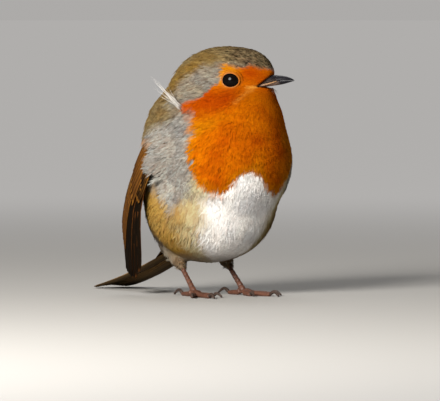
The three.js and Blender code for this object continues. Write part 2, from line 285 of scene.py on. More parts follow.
class Finish(Board):
    """A material whose shader's sockets are set by name."""

    def __init__(self, name, **uniform):
        self.material = bpy.data.materials.new(name)
        self.material.use_nodes = True
        super().__init__(self.material.node_tree)
        self.shader = self.tree.nodes["Principled BSDF"]
        for socket, value in uniform.items():
            self.shader.inputs[socket.replace("_", " ")].default_value = value

    def set(self, socket, wire):
        self.feed(self.shader.inputs[socket], wire)

    def bump(self, height, depth, strength):
        normal = self.add("ShaderNodeBump", {}, {"Height": height, "Distance": depth, "Strength": strength})
        self.set("Normal", normal)

    def noise(self, place, scale, detail=2.0):
        return self.add("ShaderNodeTexNoise", {}, {"Vector": place, "Scale": scale, "Detail": detail})

    def place(self):
        return self.add("ShaderNodeTexCoord", out="Object")

    def forward(self, place):
        """How far forward a place lies, as the head looks."""
        dot = {"operation": "DOT_PRODUCT"}
        return self.add("ShaderNodeVectorMath", dot, {0: place, 1: tuple(FORWARD)}, out=1)

    def clouded(self, first, second, scale, detail=2.0):
        """Paints the surface with clouds of two colours, and gives back the clouds and their colour."""
        cloud = self.noise(self.place(), scale, detail)
        colour = self.blend(cloud, (*first, 1), (*second, 1))
        self.set("Base Color", colour)
        return cloud, colour


def srgb(red, green, blue):
    """A colour named by its screen values from 0 to 255, as the linear light that shaders use."""
    c = np.array([red, green, blue]) / 255
    return tuple(np.where(c <= 0.04045, c / 12.92, ((c + 0.055) / 1.055) ** 2.4))


print("node helpers ready")

# %% [markdown]
# ## The floor
# A plain pale disc, wide enough to fill every view. Far off, where the lamps don't reach, it glows as softly
# as the sky, so that no dark band lies behind the bird.

# %% Floor
FLOOR_RADIUS = 8.0  # metres
GLOW_FROM, GLOW_TO = 0.12, 1.0  # metres from the bird, where the floor begins to glow and glows fully
FLOOR_TINT = (0.33, 0.32, 0.305, 1)
BLACK = (0, 0, 0, 1)
floor_mesh = bmesh.new()
bmesh.ops.create_circle(floor_mesh, cap_ends=True, segments=64, radius=FLOOR_RADIUS)
floor_data = bpy.data.meshes.new("floor")
floor_mesh.to_mesh(floor_data)
pale = Finish("pale_floor", Roughness=0.9, Emission_Strength=1.0)
reach = pale.add("ShaderNodeVectorMath", {"operation": "LENGTH"}, {0: pale.place()}, out=1)
far_off = pale.ramp(GLOW_FROM, GLOW_TO, reach)
pale.set("Base Color", pale.blend(far_off, FLOOR_TINT, BLACK))
pale.set("Emission Color", pale.blend(far_off, BLACK, (*(SKY_SHOWS * c for c in SKY_TINT), 1)))
floor = put("floor", floor_data, pale.material)
print("floor radius", FLOOR_RADIUS, "m")

# %% [markdown]
# ## Smooth steps and soft noise
# The colours of the plumage, the length of the feathers and the way they lie are all smooth functions of
# place. These helpers are the vocabulary for them: a soft step, a mix, a table read along straight lines, and
# a gentle random field that is the same on every run.


# %% Soft functions
def soft_step(low, high, x):
    """0 at low, 1 at high, and smooth between; low may be the larger."""
    t = np.clip((x - low) / (high - low), 0, 1)
    return t * t * (3 - 2 * t)


def between(a, b, share):
    """A mix of two numbers or arrays; share 0 is all the first."""
    return a + (b - a) * share


def mixed(a, b, share):
    """Rows of colours or directions, mixed by one share for each row."""
    return between(np.asarray(a, float), np.asarray(b, float), np.asarray(share)[:, None])


def table(rows, x):
    """Straight lines between rows of place and value."""
    return np.interp(x, *zip(*rows))


def unit(v):
    return v / np.maximum(np.linalg.norm(v, axis=-1, keepdims=True), 1e-9)


def ripple(points, size, seed):
    """A smooth random field between -1 and 1 whose blobs are about `size` mm across."""
    table = np.random.default_rng(seed).uniform(-1, 1, (32, 32, 32))
    q = np.asarray(points) / size
    base = np.floor(q).astype(int)
    t = q - base
    t = t * t * (3 - 2 * t)
    total = 0
    for corner in np.ndindex(2, 2, 2):
        weight = np.prod(np.where(np.array(corner) == 1, t, 1 - t), axis=-1)
        i, j, k = ((base + corner) % 32).T
        total = total + weight * table[i, j, k]
    return total


print("soft functions ready")

# %% [markdown]
# ## Points and faces
# Most pieces are rows of points with faces between them: a sheet, a ring, or a closed skin over rings. Points
# are worked out in millimetres and turned to metres only when they go into a mesh.


# %% Mesh helpers
def triples(rows, field):
    """One vector for each row of a mesh's data, as an array."""
    out = np.empty(len(rows) * 3, np.float32)
    rows.foreach_get(field, out)
    return out.reshape(-1, 3).astype(float)


def places_of(mesh):
    return triples(mesh.vertices, "co")


def normals_of(mesh):
    return triples(mesh.vertex_normals, "vector")


def mesh_of(name, points, faces):
    """A mesh of points given in mm."""
    mesh = bpy.data.meshes.new(name)
    mesh.from_pydata(to_metres(points).tolist(), [], faces)
    return mesh


def grid_faces(rows, columns, ring=False, closed=False):
    """Quads between rows of points. A ring joins each row's ends; closed joins the last row to the first."""
    return [[i * columns + j, i * columns + (j + 1) % columns,
             (i + 1) % rows * columns + (j + 1) % columns, (i + 1) % rows * columns + j]
            for i in range(rows if closed else rows - 1) for j in range(columns if ring else columns - 1)]


def capped_faces(rows, around):
    """A closed skin over rings of points, with a cap at each end."""
    points = list(range(rows * around))
    return grid_faces(rows, around, ring=True) + [points[:around][::-1], points[-around:]]


def turned_out(mesh):
    """Makes the faces of closed shapes look outwards and shades them smooth."""
    work = bmesh.new()
    work.from_mesh(mesh)
    bmesh.ops.recalc_face_normals(work, faces=work.faces)
    work.to_mesh(mesh)
    mesh.shade_smooth()
    return mesh


def move_points(mesh, places):
    """Puts the mesh's points at places given in mm."""
    mesh.vertices.foreach_set("co", to_metres(places).astype(np.float32).ravel())
    mesh.update()


print("mesh helpers ready")

# %% [markdown]
# ## The skin
# A feathered bird has one continuous skin. Thin cuts part the head, neck, trunk and thighs of the frame. So
# their copies are swollen by a hair until they touch, joined, and rebuilt as one even mesh by a voxel remesh.
# Smoothing takes out the facets, and then every point sinks by the depth of the coat at that place.

# %% The joined flesh
FLESH = ["head", "neck", "trunk", "thigh_right", "thigh_left"]
SWELL = 0.25  # mm, enough to close the cuts
VOXEL = 0.75  # mm
SMOOTHINGS = 14


def merge_in(joined, part):
    """Adds one work mesh to another."""
    step = bpy.data.meshes.new("step")
    part.to_mesh(step)
    joined.from_mesh(step)
    bpy.data.meshes.remove(step)


def swollen(name, swell, cuts=0):
    """A merged copy of a solid of the frame, grown outwards by some mm, its edges first cut if asked."""
    part = bmesh.new()
    part.from_mesh(frame["nodes"][name].data)
    bmesh.ops.remove_doubles(part, verts=part.verts, dist=1e-6)
    if cuts:
        bmesh.ops.subdivide_edges(part, edges=part.edges, cuts=cuts, use_grid_fill=True, smooth=0.6)
    part.normal_update()
    for v in part.verts:
        v.co += v.normal * swell * MM
    return part


def smoothed(work, factor, times):
    for _ in range(times):
        bmesh.ops.smooth_vert(work, verts=work.verts, factor=factor, use_axis_x=True, use_axis_y=True,
                              use_axis_z=True)


def flesh_shell():
    joined = bmesh.new()
    for name in FLESH:
        merge_in(joined, swollen(name, SWELL))
    for centre in eyeballs.values():
        socket_fill = Matrix.Translation(centre)
        bmesh.ops.create_icosphere(joined, subdivisions=3, radius=EYE_RADIUS * 0.9 * MM, matrix=socket_fill)
    shell = bpy.data.meshes.new("shell")
    joined.to_mesh(shell)
    return shell


def remeshed(mesh, voxel, smoothings):
    thing = put("remesh", mesh)
    modifier = thing.modifiers.new("voxels", "REMESH")
    modifier.mode = "VOXEL"
    modifier.voxel_size = voxel * MM
    even = bpy.data.meshes.new_from_object(thing.evaluated_get(bpy.context.evaluated_depsgraph_get()))
    bpy.data.objects.remove(thing)
    work = bmesh.new()
    work.from_mesh(even)
    smoothed(work, 0.5, smoothings)
    work.to_mesh(even)
    return even


skin_mesh = remeshed(flesh_shell(), VOXEL, SMOOTHINGS)
skin_mesh.name = "skin"
print("the skin has", len(skin_mesh.vertices), "points, about", VOXEL, "mm apart")

# %% [markdown]
# ## Unrolling the bird
# Plumage is easiest to describe by how far round the bird a point lies and how high. The middle line of the
# bird leans from the belly up to the skull, and above the shoulders the zero of the angle turns with the
# head, so that the bib, the face and the crown keep their own middle line though the bird looks aside.


# %% Round and up
BELLY_AXIS = (-0.3, 1.0, 50.0)  # x, y and height where the middle line starts to lean
SKULL_AXIS = (3.6, -0.8, 78.0)
TURN_FROM, TURN_TO = 58.0, 76.0  # the heights between which the neck takes up the turn of the head


def round_the_bird(p):
    """Degrees round from the front, the bird's left being positive."""
    rise = np.clip((p[:, 2] - BELLY_AXIS[2]) / (SKULL_AXIS[2] - BELLY_AXIS[2]), 0, 1)
    x = p[:, 0] - between(BELLY_AXIS[0], SKULL_AXIS[0], rise)
    y = p[:, 1] - between(BELLY_AXIS[1], SKULL_AXIS[1], rise)
    angle = np.degrees(np.arctan2(x, -y)) - math.degrees(HEAD_YAW) * soft_step(TURN_FROM, TURN_TO, p[:, 2])
    return (angle + 180) % 360 - 180


probes = np.array([[0, -20, 40], [20, 1, 40], [0, 20, 40]])
print("front, left and back lie at", round_the_bird(probes).round(), "degrees")

# %% [markdown]
# ## Where the eyes sit
# Each eyeball is a ball of the same size as the frame's. It shows through an oval opening, and the skin, the
# lids and the shortest feathers all keep to that oval. So for any point near an eye two things are worked
# out: how far it lies from the ball's middle, and by how many degrees it lies outside the opening's rim.

# %% Eye axes and openings
BALL = 4.2  # mm, the eyeball's radius
OPENING = (3.25, 2.65)  # mm, half the length and half the height of the eye's opening
LID_TILT = math.radians(-7)
LOOK_AHEAD, LOOK_UP = math.radians(0.5), math.radians(4)
SIDES = {"right": -1, "left": 1}


def eye_axes(side):
    """The ball's middle, and the directions in which it looks, runs forward and runs up."""
    outward = SIDES[side] * LEFTWARD * math.cos(LOOK_AHEAD) + FORWARD * math.sin(LOOK_AHEAD)
    outward = outward * math.cos(LOOK_UP) + np.array([0, 0, math.sin(LOOK_UP)])
    level = unit(FORWARD - outward * (FORWARD @ outward))
    upright = np.cross(outward, level) * SIDES[side]
    upright = upright * np.sign(upright[2])
    ahead = level * math.cos(LID_TILT) + upright * math.sin(LID_TILT)
    upward = -level * math.sin(LID_TILT) + upright * math.cos(LID_TILT)
    return to_mm(np.array(eyeballs[side])), outward, ahead, upward


def lid_angle(a):
    """How far from the eye's axis the opening's rim lies, seen from the middle of the ball."""
    return np.arcsin(1 / np.sqrt((np.cos(a) * BALL / OPENING[0]) ** 2 + (np.sin(a) * BALL / OPENING[1]) ** 2))


def around_eye(p):
    """For the nearer eye: mm from the ball's middle, and degrees beyond the rim of the opening."""
    fars, beyonds = [], []
    for side in SIDES:
        centre, outward, ahead, upward = eye_axes(side)
        d = p - centre
        fars.append(np.linalg.norm(d, axis=-1))
        off = np.arccos(np.clip((d @ outward) / fars[-1], -1, 1))
        beyonds.append(np.degrees(off - lid_angle(np.arctan2(d @ upward, d @ ahead))))
    return np.min(fars, axis=0), np.where(fars[1] < fars[0], beyonds[1], beyonds[0])


print("the opening's rim lies", np.degrees(lid_angle(np.array([0, math.pi / 2]))).round(), "degrees off axis")

# %% [markdown]
# ## The lie, length and depth of the coat
# Feathers point away from the bill. On the head they stream back from its tip, and on the body they hang down
# and sweep back towards the tail. They are shortest round the bill and eyes and longest on the belly. The
# same length sets how deep the coat is, and so how far the skin lies inside the frame's solids.

# %% Comb, length and depth
STREAM_FROM = np.array([21.9, 0, 1.5])  # the spot at the bill's tip that the head's feathers point away from
BILL_BASE = np.array([13.0, 0, -0.5])
SHORTEST, LONGEST = 1.05, 7.2  # mm
THIGH_LONG = 2.6  # mm
LENGTH_GROWTH = 0.088  # mm of feather for each mm away from the bill's base


def combed(p, normal):
    """The way the feathers lie, along the surface."""
    stream = unit(from_head(in_head(p) - STREAM_FROM) - BETWEEN_EYES)
    angle = np.abs(round_the_bird(p))
    high = 0.5 * soft_step(14, 34, p[:, 2]) + 1.0 * soft_step(34, 54, p[:, 2])
    back_sweep = 0.28 + soft_step(35, 85, angle) * high
    hang = unit(np.stack([0.02 * p[:, 0], back_sweep, -np.ones(len(p))], -1))
    neck = soft_step(60, 74, p[:, 2] - 4.0 * np.cos(np.radians(angle)))
    lie = mixed(hang, stream, neck)
    wander = np.stack([ripple(p, 9.0, seed) for seed in (11, 12, 13)], -1)
    lie = lie + 0.22 * wander
    return unit(lie - np.sum(lie * normal, -1, keepdims=True) * normal)


def feather_length(p):
    """Millimetres: longer away from the bill, shorter on the thighs, and half as long beside the eyes."""
    away = np.linalg.norm(in_head(p) - BILL_BASE, axis=-1)
    length = np.clip(SHORTEST + LENGTH_GROWTH * (away - 4.0), SHORTEST, LONGEST)
    legs = soft_step(24, 14, p[:, 2])
    length = between(length, THIGH_LONG, legs * soft_step(0, 8, p[:, 2]))
    far, beyond = around_eye(p)
    near = soft_step(7.5, 5.0, far) * soft_step(45, 8, beyond)
    return length * (1 - 0.5 * near)


GAP = (4.8, 2.15, -0.15)  # half width, half height and middle height of the gap in the face for the bill
# How far forward the face reaches beside the bill, by height: least at the corner of the mouth.
FACE_EDGE = [(-3.2, 13.0), (-2.7, 11.6), (-2.2, 8.2), (-1.6, 9.2), (0.5, 11.5), (2.5, 13.6)]
DOWN = 0.12  # mm of coat where feathers are shortest
DEPTH_SHARE = 0.25  # depth of the coat as a share of the feathers' length

places = to_mm(places_of(skin_mesh))
normals = normals_of(skin_mesh)
lengths = feather_length(places)
comb = combed(places, normals)
skin_places = places - normals * (DOWN + DEPTH_SHARE * lengths)[:, None]

# Round each eye the skin dips or rises to meet the ball under the lids. Here a soft step's numbers are
# degrees beyond the opening, or mm from the middle of the ball.
far, beyond = around_eye(skin_places)
lowest = BALL - 0.4 + 0.85 * soft_step(6, 20, beyond) - 2.0 * soft_step(24, 62, beyond)
dip = np.clip(far - lowest, 0, None) * soft_step(8.0, 5.2, far) * soft_step(40, 18, beyond)
dip = dip - np.clip(lowest - far, 0, None) * soft_step(62, 40, beyond) * soft_step(4, 12, beyond)
nearest = [to_mm(np.array(eyeballs[side])) for side in SIDES]
which = np.argmin([np.linalg.norm(skin_places - c, axis=-1) for c in nearest], axis=0)
skin_places = skin_places - unit(skin_places - np.array(nearest)[which]) * dip[:, None]

# The face stops short round the root of the bill, and slants back to the corner of the mouth.
head = in_head(skin_places)
round_bill = np.hypot(head[:, 1] / GAP[0], (head[:, 2] - GAP[2]) / GAP[1])
draw_back = np.clip(head[:, 0] - table(FACE_EDGE, head[:, 2]), 0, None)
draw_back = draw_back * soft_step(2.3, 1.7, round_bill) * soft_step(5, 7, head[:, 0])
move_points(skin_mesh, skin_places - draw_back[:, None] * FORWARD)
print("feathers from", lengths.min().round(2), "to", lengths.max().round(2), "mm")

# %% [markdown]
# ## Markings
# The robin's bib is orange from the forehead and face to the breast. Below, its edge makes two lobes with a
# white notch between them, and at the side of the neck it draws out to a point behind the cheek. Silver-grey
# borders the bib, the flanks are washed olive-buff, the belly is white, and crown, nape and back are olive.

# %% The palette
ORANGE = srgb(170, 88, 3)
ORANGE_DEEP = srgb(138, 45, 2)
ORANGE_YELLOW = srgb(162, 104, 6)
SILVER = srgb(140, 136, 126)
SILVER_SHADE = srgb(98, 98, 98)
EAR_GREY = srgb(120, 110, 92)
OLIVE = srgb(104, 80, 34)
OLIVE_GREY = srgb(106, 94, 68)
CROWN_GREY = srgb(72, 58, 42)
SHADED_SIDE_OCHRE = srgb(200, 138, 34)
FLANK_BUFF = srgb(150, 114, 44)
# painted shade, laid low on the left flank, the side away from the key lamp
FAR_FLANK_PAINTED_SHADE = srgb(62, 56, 42)
FLANK_CREAM = srgb(158, 146, 110)
BELLY_WHITE = srgb(236, 234, 228)
BELLY_SHADE = srgb(208, 209, 210)
VENT_GREY = srgb(126, 118, 106)
THIGH_BROWN = srgb(110, 96, 80)
LID_YELLOW = srgb(196, 132, 48)

# The lower and upper edges of the bib: degrees round from its middle, and height in mm.
BIB_SHIFT = 5.0  # the breast's middle line lies this many degrees to the bird's right of the body's
BIB_FLOOR = [
    (0, 48.4), (5, 48.2), (9, 46.1), (13, 43.4), (17, 41.0), (22, 39.9), (28, 39.9), (32, 40.8), (36, 42.8),
    (40, 45.4), (44, 48.7), (48, 52.5), (51, 57.0), (56, 62.0), (72, 65.7), (91, 68.4), (108, 70.4),
    (120, 72.3), (126, 73.5),
]
BIB_ROOF = [
    (0, 83.4), (8, 84.0), (15, 84.4), (22, 84.7), (50, 85.0), (80, 85.7), (88, 85.1), (94, 83.0),
    (96.5, 80.0), (97.5, 78.2), (103, 76.0), (110, 74.3), (120, 73.2), (126, 72.3),
]
# The lower edge of the silver side, and, by height, how far forward of the eyes the silver behind them ends.
GREY_FOOT = [(50, 40.0), (68, 34.0), (90, 42.5), (105, 48.5), (130, 60.0)]
EAR_BACK = [(64, -18), (69, -19.5), (72, -23), (76, -21), (82, -16), (85.5, -10.5), (89, -4)]
print("palette and bib edges ready")

# %% [markdown]
# Painting goes as on a real model: thin coats of colour, one over another, each fading out at its edges. A
# soft step's two numbers are the angle (in degrees) or the height (in mm) where a marking begins and where it
# is complete, and a ripple breaks the edge up, so that it runs between feathers.


# %% Painting the plumage
def mottled(a, b, middle, swing, p, size, seed):
    """Two colours in soft patches of about `size` mm."""
    return mixed(a, b, middle + swing * ripple(p, size, seed))


def painted(colour, *coats):
    """Coats of paint, one over another, each with its share of the colour at every point."""
    for paint, share in coats:
        colour = mixed(colour, paint, share)
    return colour


def near_line(q, start, end, width):
    """1 on the line between two places of a plane, falling to 0 over its width."""
    start, end = np.array(start), np.array(end)
    along = np.clip((q - start) @ (end - start) / np.sum((end - start) ** 2), 0, 1)
    return np.exp(-np.sum((q - start - along[:, None] * (end - start)) ** 2, -1) / width**2)


def plumage_colour(p):
    """The colour at the tips of the feathers, and how strongly single feathers differ in shade."""
    angle = round_the_bird(p)
    height = p[:, 2] + 0.9 * ripple(p, 3.2, 21) + 0.5 * ripple(p, 1.4, 22)
    side = np.abs(angle + BIB_SHIFT * soft_step(72, 58, p[:, 2])) + 2.0 * ripple(p, 4.0, 23)
    head = in_head(p)
    forward = head[:, 0]

    # The body: white belly, cream and buff flanks, silver sides, olive back and a grey vent. On the left side
    # alone the flanks reach further forward and a dark wash lies low on the flank: painted shade for the side
    # away from the key lamp.
    grey = mottled(SILVER, SILVER_SHADE, 0.38, 0.42, p, 3.5, 26)
    olive = mottled(OLIVE, OLIVE_GREY, 0.5, 0.5, p, 5.0, 27)
    # the last term moves the real buff flanks forward on the left side only: painted shade for the belly's
    # far edge
    round_flank = side + 0.35 * (height - 28) + 16 * soft_step(30, 55, angle)
    silver_side = soft_step(-3.5, 3.5, height - table(GREY_FOOT, side)) * soft_step(40, 48, side)
    back = soft_step(100, 128, side) * soft_step(12, 26, height) * soft_step(74, 68, height)
    colour = painted(
        mottled(BELLY_WHITE, BELLY_SHADE, 0.5, 0.5, p, 5.0, 24),
        (FLANK_CREAM, soft_step(28, 52, round_flank + 6 * ripple(p, 5.0, 30))),
        (mottled(FLANK_BUFF, OLIVE_GREY, 0.35, 0.35, p, 6.0, 25),
         soft_step(48, 74, round_flank + 6 * ripple(p, 4.0, 31)) * soft_step(8, 16, height)),
        (grey, silver_side),
        (mottled(EAR_GREY, SILVER_SHADE, 0.4, 0.4, p, 2.6, 35), soft_step(66, 72, height) * silver_side),
        (olive, back),
        # painted shade: a dark wash low on the left flank only
        (FAR_FLANK_PAINTED_SHADE, 0.55 * soft_step(32, 54, angle) * soft_step(44, 34, height)),
        (VENT_GREY, 0.85 * soft_step(8, 16, p[:, 1]) * soft_step(32, 24, p[:, 2])),
    )

    # The head: silver over and behind the eye, olive on the nape, grey-brown on the crown.
    crown = soft_step(0.0, 3.5, height - between(81.6, 84.0, soft_step(50, 75, side)))
    forehead = soft_step(-6, 5, forward)
    cap = painted(
        olive,
        (mottled(CROWN_GREY, OLIVE_GREY, 0.35, 0.35, p, 3.0, 28), forehead),
        (SILVER, 0.5 * soft_step(87.5, 84.0, height) * soft_step(9, 3, forward) * soft_step(-9, -2, forward)),
    )
    colour = painted(
        colour,
        (olive, soft_step(2.5, -2.5, forward - table(EAR_BACK, height)) * soft_step(64, 70, height)),
        (cap, crown * soft_step(-16, -9, forward)),
    )

    # The bib: deeper on the cheek and before the eye, yellower at its lower rim and over and behind the eye.
    # On its left side alone it is washed ochre, streaked darker and given more contrast: painted shade for
    # the side away from the key lamp. Pale lines run back from the mouth and down the throat's edge.
    over = soft_step(-0.9, 0.9, height - table(BIB_FLOOR, side))
    under = soft_step(-0.7, 0.7, table(BIB_ROOF, side) - height)
    bib = over * under * soft_step(127, 122, side)
    cheek = soft_step(60, 74, height) * soft_step(40, 75, side) * soft_step(80, 74, height)
    lores = np.exp(-(((forward - 7.5) / 4.0) ** 2 + ((head[:, 2] - 2.8) / 3.0) ** 2))
    rim = soft_step(6.5, 1.0, height - table(BIB_FLOOR, side)) * soft_step(66, 58, height)
    glow = painted(
        mixed(ORANGE, ORANGE_DEEP, np.clip(0.25 + 0.5 * ripple(p, 5.0, 29), 0, 1)),
        (ORANGE_DEEP, 0.65 * cheek),
        (ORANGE_DEEP, 0.8 * lores),
        (ORANGE_YELLOW, 0.5 * rim),
        # painted shade: an ochre wash on the bib's left side only
        (SHADED_SIDE_OCHRE, 0.7 * soft_step(15, 45, angle) * (0.6 + 0.4 * ripple(p, 1.6, 34))),
        (ORANGE_YELLOW, 0.6 * soft_step(40, 58, side) * soft_step(72, 64, height)),
    )
    # painted shade: darker streaks on the bib's left side only
    shade_streak = soft_step(0.0, 0.7, ripple(p, 1.1, 36)) * soft_step(5, 35, angle)
    whisker = near_line(head[:, [0, 2]], (12.0, -1.7), (7.0, -2.3), 0.4) * soft_step(3, 5, np.abs(head[:, 1]))
    moustache = near_line(head[:, [0, 2]], (8.6, -2.9), (4.6, -6.6), 0.8) * (0.5 + 0.5 * ripple(p, 1.3, 33))
    glow = painted(
        glow * (1 - 0.5 * shade_streak)[:, None],
        (ORANGE_YELLOW, 0.75 * soft_step(81.5, 84.5, height) * soft_step(38, 62, side)),
        (ORANGE_YELLOW, 0.8 * soft_step(80, 92, side) * soft_step(77, 80, height)),
        (LID_YELLOW, np.clip(0.8 * whisker + 0.9 * moustache, 0, 1)),
    )

    far, beyond = around_eye(p)
    ring = soft_step(7.0, 5.4, far) * soft_step(20, 8, beyond)
    colour = painted(
        colour,
        (glow, bib),
        (LID_YELLOW, ring * between(0.65, 0.15, soft_step(-4, 4, forward))),
        (VENT_GREY, 0.8 * soft_step(18, 12, p[:, 2])),
    )

    bare_of_bib = 1 - bib
    # the last term raises the contrast on the bib's left side only, part of the painted shade there
    contrast = (0.20 - 0.14 * soft_step(45, 30, side) * bare_of_bib + 0.3 * silver_side * bare_of_bib
                + 0.95 * crown * forehead * bare_of_bib + 0.35 * bib * soft_step(15, 45, angle))
    return np.clip(colour, 0, 1), np.clip(contrast, 0, 1)


plume, streaks = plumage_colour(places)
print("mean plumage colour", plume.mean(axis=0).round(2))

# %% [markdown]
# ## Handing the maps to the mesh
# Geometry Nodes and shaders read maps as attributes. The skin gets its colour, the way the feathers lie, how
# long and how crowded they are, and a number for each region, so that no piece of coat grows too heavy. The
# bake map is an ordinary unwrap of the skin's own shape.

# %% Attributes and unwrap
TUFTS_PER_SQUARE = 10.0  # tufts in a square whose side is one feather long
FIELDS = {"FLOAT": "value", "INT": "value", "FLOAT_VECTOR": "vector", "FLOAT_COLOR": "color"}


def store(mesh, name, kind, values, domain="POINT"):
    attribute = mesh.attributes.new(name, kind, domain)
    numbers = np.ascontiguousarray(values, np.int32 if kind == "INT" else np.float32)
    attribute.data.foreach_set(FIELDS[kind], numbers.ravel())


crowd = TUFTS_PER_SQUARE / np.maximum(lengths, 1.5) ** 1.75
store(skin_mesh, "plume", "FLOAT_COLOR", np.column_stack([plume, streaks]))
store(skin_mesh, "comb", "FLOAT_VECTOR", comb)
store(skin_mesh, "outward", "FLOAT_VECTOR", normals)
store(skin_mesh, "long", "FLOAT", lengths * MM)
bare = 1 - soft_step(7.0, 6.0, far) * soft_step(14, 10, beyond)
bare = bare * (1 - soft_step(0.85, 0.7, round_bill) * soft_step(9.5, 10.5, in_head(places)[:, 0]))
store(skin_mesh, "crowd", "FLOAT", crowd * bare / MM**2)

skin = put("skin", skin_mesh)
bpy.context.view_layer.objects.active = skin
skin.select_set(True)
bpy.ops.object.mode_set(mode="EDIT")
bpy.ops.mesh.select_all(action="SELECT")
bpy.ops.uv.smart_project(angle_limit=math.radians(70), island_margin=0.004)
bpy.ops.object.mode_set(mode="OBJECT")
skin_mesh.uv_layers[0].name = "unwrap"
skin_mesh.shade_smooth()
print("unwrapped", len(skin_mesh.polygons), "faces; expected tufts",
      round(float(np.sum(crowd) * VOXEL**2 * 1.05)))

# %% Regions of the coat
REGIONS = {  # and how many times the usual number of tufts each carries
    "face": 1.0, "crown": 1.3, "throat": 1.4, "breast": 2.1, "belly": 2.5, "flank_right": 2.4,
    "flank_left": 1.5, "mantle": 2.2, "rump": 0.95,
}
LIFTS = {"belly": 0.3, "flank_right": 0.45, "flank_left": 0.5, "breast": 0.8}  # where the tufts lie flatter
NUMBERS = {region: k for k, region in enumerate(REGIONS)}


def region_of(p):
    """The number of the region each place is in."""
    angle, head = round_the_bird(p), in_head(p)
    side, up, forward = np.abs(angle), p[:, 2], head[:, 0]
    below_shoulder, high = up < 62, head[:, 2] > -7.5
    number = np.full(len(p), NUMBERS["belly"])
    for region, inside in [  # where two overlap, the later one has it
        ("breast", up > 40),
        ("flank_right", (side > 62) & below_shoulder & (angle < 0)),
        ("flank_left", (side > 62) & below_shoulder & (angle > 0)),
        ("rump", (side > 128) & below_shoulder),
        ("throat", up > 60),
        ("mantle", (up > 60) & (side > 112)),
        ("face", high & (forward > -8)),
        ("crown", ((head[:, 2] > 5.5) & (forward < 9)) | (high & (forward < -8))),
    ]:
        number[inside] = NUMBERS[region]
    return number


corners = np.array([p.center[:] for p in skin_mesh.polygons])
zones = region_of(to_mm(corners))
store(skin_mesh, "zone", "INT", zones, "FACE")
print({name: int((zones == k).sum()) for k, name in enumerate(REGIONS)})

# %% [markdown]
# ## One tuft
# A small body feather is a loose fan of barbs. A tuft is a few slender locks that start together, rise out of
# the skin and lie down along the body. Each lock is a closed three-sided sliver of a dozen triangles, because
# it will be repeated tens of thousands of times. A handful of different tufts hides the repetition.

# %% Tuft prototypes
LOCKS = 6
TUFT_KINDS = 6
LOCK_STEPS = [(0.0, 0.55), (0.5, 1.0), (1.0, 0.0)]  # share along and share of full width
LOCK_WIDTH = 0.062  # of the feather's length
FAN = math.radians(15)  # half of the angle over which a tuft's locks spread


def tuft_mesh(name, rng):
    mesh = bmesh.new()
    leaf = mesh.verts.layers.float_vector.new("leaf")
    for k in range(LOCKS):
        turn = FAN * (2 * (k + rng.uniform(0.2, 0.8)) / LOCKS - 1)
        length = rng.uniform(0.74, 1.04)
        start = (rng.uniform(-0.09, 0.09), rng.uniform(-0.1, 0.12))
        tone = rng.uniform(0, 1)
        rise = rng.uniform(0.85, 1.1)
        curl = rng.uniform(-0.12, 0.12)
        rows = []
        for share, wide in LOCK_STEPS:
            heading = turn + curl * share
            x = start[0] + math.sin(heading) * length * share
            y = start[1] + math.cos(heading) * length * share
            z = rise * (0.22 * share**0.6 - 0.11 * share**2) - 0.02
            centre = Vector((x, y, z))
            side = Vector((math.cos(heading), -math.sin(heading), 0)) * LOCK_WIDTH * wide * 0.5
            ridge = Vector((0, 0, LOCK_WIDTH * wide * 0.3))
            corners = [centre] if wide == 0 else [centre - side, centre + side, centre + ridge]
            rows.append([mesh.verts.new(corner) for corner in corners])
            for vertex in rows[-1]:
                vertex[leaf] = (share, tone, 0)
        mesh.faces.new(rows[0])
        for lower, upper in zip(rows, rows[1:]):
            for i in range(3):
                j = (i + 1) % 3
                if len(upper) == 1:
                    mesh.faces.new((lower[i], lower[j], upper[0]))
                else:
                    mesh.faces.new((lower[i], lower[j], upper[j], upper[i]))
    bmesh.ops.recalc_face_normals(mesh, faces=mesh.faces)
    bmesh.ops.triangulate(mesh, faces=mesh.faces)
    data = bpy.data.meshes.new(name)
    mesh.to_mesh(data)
    data.shade_smooth()
    return data


soft_tufts = bpy.data.collections.new("tuft")
tuft_chance = np.random.default_rng(5)
for k in range(TUFT_KINDS):
    soft_tufts.objects.link(bpy.data.objects.new(f"tuft_{k}", tuft_mesh(f"tuft_{k}", tuft_chance)))

# %% [markdown]
# ## Growing the coat
# The tree scatters points over one region of the skin and stands a tuft on each, its Z axis along the skin's
# normal and its Y axis along the comb. It gives the tuft a small random turn and size, and realizes the
# instances. Each tuft goes into the bake map as a tiny patch at its root's place, to carry its own colour.

# %% The coat tree
PATCH = 0.003  # the side of a tuft's patch in the bake map
WOBBLE = ((-0.05, -0.07, -1.0), (0.08, 0.07, 1.0))  # radians of tilt; the last is a share of the Turn input


